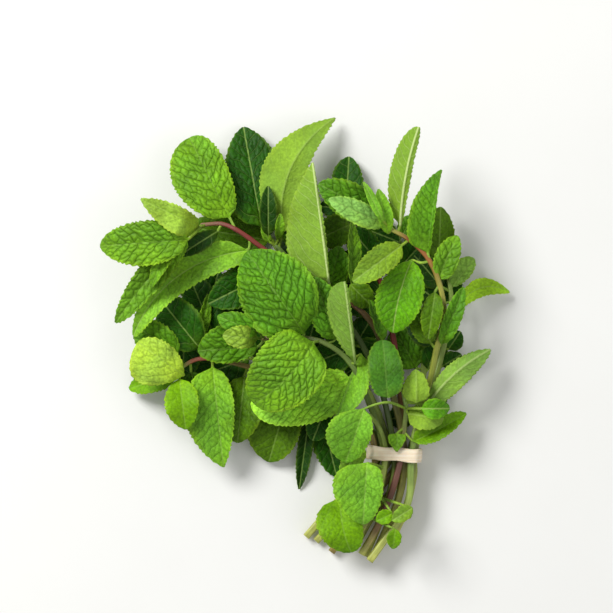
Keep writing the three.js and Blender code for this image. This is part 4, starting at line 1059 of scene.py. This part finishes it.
class Nodes:
    """A material's node tree, with short calls for what the materials here need."""

    def __init__(self, name):
        self.material = bpy.data.materials.new(name)
        self.material.use_nodes = True
        self.tree = self.material.node_tree
        self.shader = self.tree.nodes["Principled BSDF"]
        self.place = self.tree.nodes.new("ShaderNodeTexCoord").outputs["Object"]

    def put(self, node, name, value):
        socket = node.inputs[name]
        if isinstance(value, bpy.types.NodeSocket):
            self.tree.links.new(value, socket)
        else:
            socket.default_value = value

    def add(self, kind, inputs, output=0):
        """A new node with values or links at its named or numbered inputs."""
        node = self.tree.nodes.new(kind)
        for name, value in inputs.items():
            self.put(node, name, value)
        return node.outputs[output]

    def finish(self, **inputs):
        """Values or links of the shader, and the material."""
        for name, value in inputs.items():
            self.put(self.shader, name.replace("_", " "), value)
        return self.material

    def math(self, operation, *values, clamp=False):
        result = self.add("ShaderNodeMath", dict(enumerate(values)))
        result.node.operation = operation
        result.node.use_clamp = clamp
        return result

    def times(self, first, second, clamp=False):
        return self.math("MULTIPLY", first, second, clamp=clamp)

    def range(self, value, low, high, to_low=0.0, to_high=1.0):
        result = self.add("ShaderNodeMapRange", {
            "Value": value, "From Min": low, "From Max": high, "To Min": to_low, "To Max": to_high,
        })
        result.node.interpolation_type = "SMOOTHSTEP"
        return result

    def mix(self, factor, first, second, way="MIX"):
        node = self.tree.nodes.new("ShaderNodeMix")
        node.data_type = "RGBA"
        node.blend_type = way
        node.clamp_factor = True
        for place, value in ((0, factor), (6, first), (7, second)):
            self.put(node, place, value)
        return node.outputs[2]

    def gap(self, value):
        """Distance of a value from the nearest whole number."""
        near = self.math("FRACT", self.math("ADD", value, 0.5))
        return self.math("ABSOLUTE", self.math("SUBTRACT", near, 0.5))

    def attribute(self, name):
        node = self.tree.nodes.new("ShaderNodeAttribute")
        node.attribute_name = name
        return node.outputs["Vector"]

    def parts(self, vector):
        return self.add("ShaderNodeSeparateXYZ", {0: vector}).node.outputs

    def join(self, x, y, z):
        return self.add("ShaderNodeCombineXYZ", {0: x, 1: y, 2: z})

    def noise(self, vector, scale, detail=3.0, roughness=0.55):
        return self.add("ShaderNodeTexNoise", {
            "Vector": vector, "Scale": scale, "Detail": detail, "Roughness": roughness,
        }, "Fac")

    def scaled(self, vector, factor):
        node = self.tree.nodes.new("ShaderNodeVectorMath")
        node.operation = "SCALE"
        self.put(node, 0, vector)
        self.put(node, "Scale", factor)
        return node.outputs[0]

    def bump(self, height, strength, distance):
        return self.add("ShaderNodeBump", {
            "Height": height, "Strength": strength, "Distance": distance,
        })


def colour(rgb):
    return (*linear(rgb), 1.0)


def leaf_material():
    nodes = Nodes("mint_leaf")
    vein, cell, out = nodes.parts(nodes.attribute("vein"))
    veined, quilt, under = nodes.parts(nodes.attribute("spot"))
    tone = nodes.attribute("tone")

    # Thin lines over the side veins and the small veins, at whole numbers of their coordinates.
    # They sink the bump and darken the colour there as painted shade in the grooves.
    side_gap = nodes.gap(vein)
    side_groove = nodes.range(side_gap, 0.0, 0.1, 1.0, 0.0)
    small_groove = nodes.range(nodes.gap(cell), 0.0, 0.12, 0.6, 0.0)
    groove = nodes.times(nodes.math("MAXIMUM", side_groove, small_groove), quilt)
    middle_line = nodes.range(out, 0.15, 0.55, 3.0, 0.0)
    side_line = nodes.range(side_gap, 0.01, 0.06, 1.0, 0.0)
    pale = nodes.times(nodes.math("MAXIMUM", middle_line, side_line), veined, clamp=True)

    broad = nodes.noise(nodes.place, 70.0)
    fine = nodes.noise(nodes.place, 900.0)
    light = nodes.range(broad, 0.3, 0.7, 0.8, 1.2)
    light = nodes.times(light, nodes.range(fine, 0.3, 0.7, 0.78, 1.22))
    shade = nodes.scaled(tone, light)
    # Painted shade along the groove lines.
    grooved = nodes.mix(1.0, shade, PAINTED_GROOVE_SHADE, "MULTIPLY")
    shade = nodes.mix(nodes.times(groove, 0.6), shade, grooved)
    hue = nodes.range(nodes.noise(nodes.place, 38.0), 0.42, 0.62)
    shade = nodes.mix(hue, shade, nodes.mix(1.0, shade, WARM_TINT, "MULTIPLY"))
    upper = nodes.mix(pale, shade, colour(VEIN_TONE))
    below = nodes.mix(0.45, shade, colour(UNDER_TONE))
    below = nodes.mix(nodes.times(pale, 1.4), below, colour(UNDER_VEIN_TONE))

    rough = nodes.math("ADD", nodes.range(broad, 0.3, 0.7, 0.46, 0.58), nodes.times(under, 0.2))
    relief = nodes.math("SUBTRACT", nodes.times(fine, 0.8), groove)
    return nodes.finish(
        Base_Color=nodes.mix(under, upper, below), Roughness=rough,
        Normal=nodes.bump(relief, 0.9, 0.0004), Specular_IOR_Level=0.14,
    )


def stem_material():
    nodes = Nodes("mint_stem")
    on, around, _ = nodes.parts(nodes.attribute("spot"))
    streaks = nodes.noise(nodes.join(nodes.times(on, 0.6), nodes.times(around, 9.0), 0.0), 3.0)
    mottle = nodes.noise(nodes.place, 130.0)
    light = nodes.range(streaks, 0.3, 0.7, 0.78, 1.2)
    light = nodes.times(light, nodes.range(mottle, 0.3, 0.7, 0.85, 1.15))
    relief = nodes.math("ADD", streaks, nodes.noise(nodes.place, 1500.0))
    return nodes.finish(
        Base_Color=nodes.scaled(nodes.attribute("tone"), light),
        Roughness=nodes.range(mottle, 0.3, 0.7, 0.38, 0.55),
        Normal=nodes.bump(relief, 0.35, 0.0002),
    )


def band_material():
    nodes = Nodes("rubber_band")
    x, y, z = nodes.parts(nodes.place)
    lines = nodes.noise(nodes.join(nodes.times(x, 30.0), nodes.times(y, 900.0), z), 1.0)
    mottle = nodes.noise(nodes.place, 260.0)
    base = nodes.mix(nodes.range(lines, 0.35, 0.65), *[colour(tone) for tone in BAND_TONES])
    base = nodes.mix(nodes.range(mottle, 0.45, 0.75, 0.0, 0.35), base, colour(BAND_STAIN))
    relief = nodes.math("ADD", lines, nodes.times(nodes.noise(nodes.place, 2200.0), 0.5))
    return nodes.finish(
        Base_Color=base, Roughness=nodes.range(mottle, 0.3, 0.7, 0.55, 0.7),
        Normal=nodes.bump(relief, 0.4, 0.0002),
        Subsurface_Weight=0.1, Subsurface_Radius=(0.002, 0.0012, 0.0006),
    )


def floor_material():
    nodes = Nodes("floor")
    base = nodes.mix(nodes.noise(nodes.place, 12.0), *[colour(tone) for tone in FLOOR_TONES])
    return nodes.finish(Base_Color=base, Roughness=0.85)


# ---------- floor, light and camera

PIXEL = 0.45  # mm of the object in one pixel, at the height of the camera's aim
AIM = (-39.8, 66.8, 20)  # mm
FRAME_WIDTH = 613  # pixels
LENS = 200  # mm
SENSOR = 36  # mm
FLOOR_REACH = 3000  # mm
FLOOR_DROP = 0.5  # mm, so that nothing lies exactly in the floor
WORLD_STRENGTH = 0.48

# Name, place in metres, width in metres, power in watts.
LIGHTS = (("key", (-0.85, 0.8, 1.05), 0.7, 25), ("fill", (0.9, -0.3, 1.2), 1.2, 3))


def make_floor():
    corners = np.array([(x, y, 0) for x, y in ((-1, -1), (1, -1), (1, 1), (-1, 1))]) * FLOOR_REACH
    floor = placed("floor", mesh_of("floor", corners, np.array([(0, 1, 2, 3)]), [floor_material()]))
    floor.location = (0, 0, -FLOOR_DROP * MM)


def make_light(name, place, size, power):
    data = bpy.data.lights.new(name, "AREA")
    data.shape = "DISK"
    data.size = size
    data.energy = power
    light = placed(name, data)
    light.location = place
    light.rotation_euler = (Vector(AIM) * MM - light.location).to_track_quat("-Z", "Y").to_euler()


def make_camera():
    data = bpy.data.cameras.new("camera")
    data.lens = LENS
    data.sensor_width = SENSOR
    distance = FRAME_WIDTH * PIXEL * LENS / SENSOR
    camera = placed("camera", data)
    camera.location = (AIM[0] * MM, AIM[1] * MM, (AIM[2] + distance) * MM)
    bpy.context.scene.camera = camera


def make_studio():
    make_floor()
    for light in LIGHTS:
        make_light(*light)
    world = bpy.data.worlds.new("studio")
    world.use_nodes = True
    background = world.node_tree.nodes["Background"]
    background.inputs["Color"].default_value = (1.0, 1.0, 1.0, 1.0)
    background.inputs["Strength"].default_value = WORLD_STRENGTH
    bpy.context.scene.world = world
    bpy.context.scene.view_settings.view_transform = "Standard"
    make_camera()


# ---------- the scene

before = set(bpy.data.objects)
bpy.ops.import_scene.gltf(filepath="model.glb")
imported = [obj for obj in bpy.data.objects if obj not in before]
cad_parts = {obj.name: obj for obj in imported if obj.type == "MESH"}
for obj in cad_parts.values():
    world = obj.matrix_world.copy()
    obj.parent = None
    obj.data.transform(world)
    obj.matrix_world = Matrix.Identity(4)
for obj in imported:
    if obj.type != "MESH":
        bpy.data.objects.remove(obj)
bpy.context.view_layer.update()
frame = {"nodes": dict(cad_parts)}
materials = [leaf_material(), stem_material()]
make_band(band_material())
for sprig in SPRIGS:
    make_sprig(sprig, frame, materials)
make_studio()
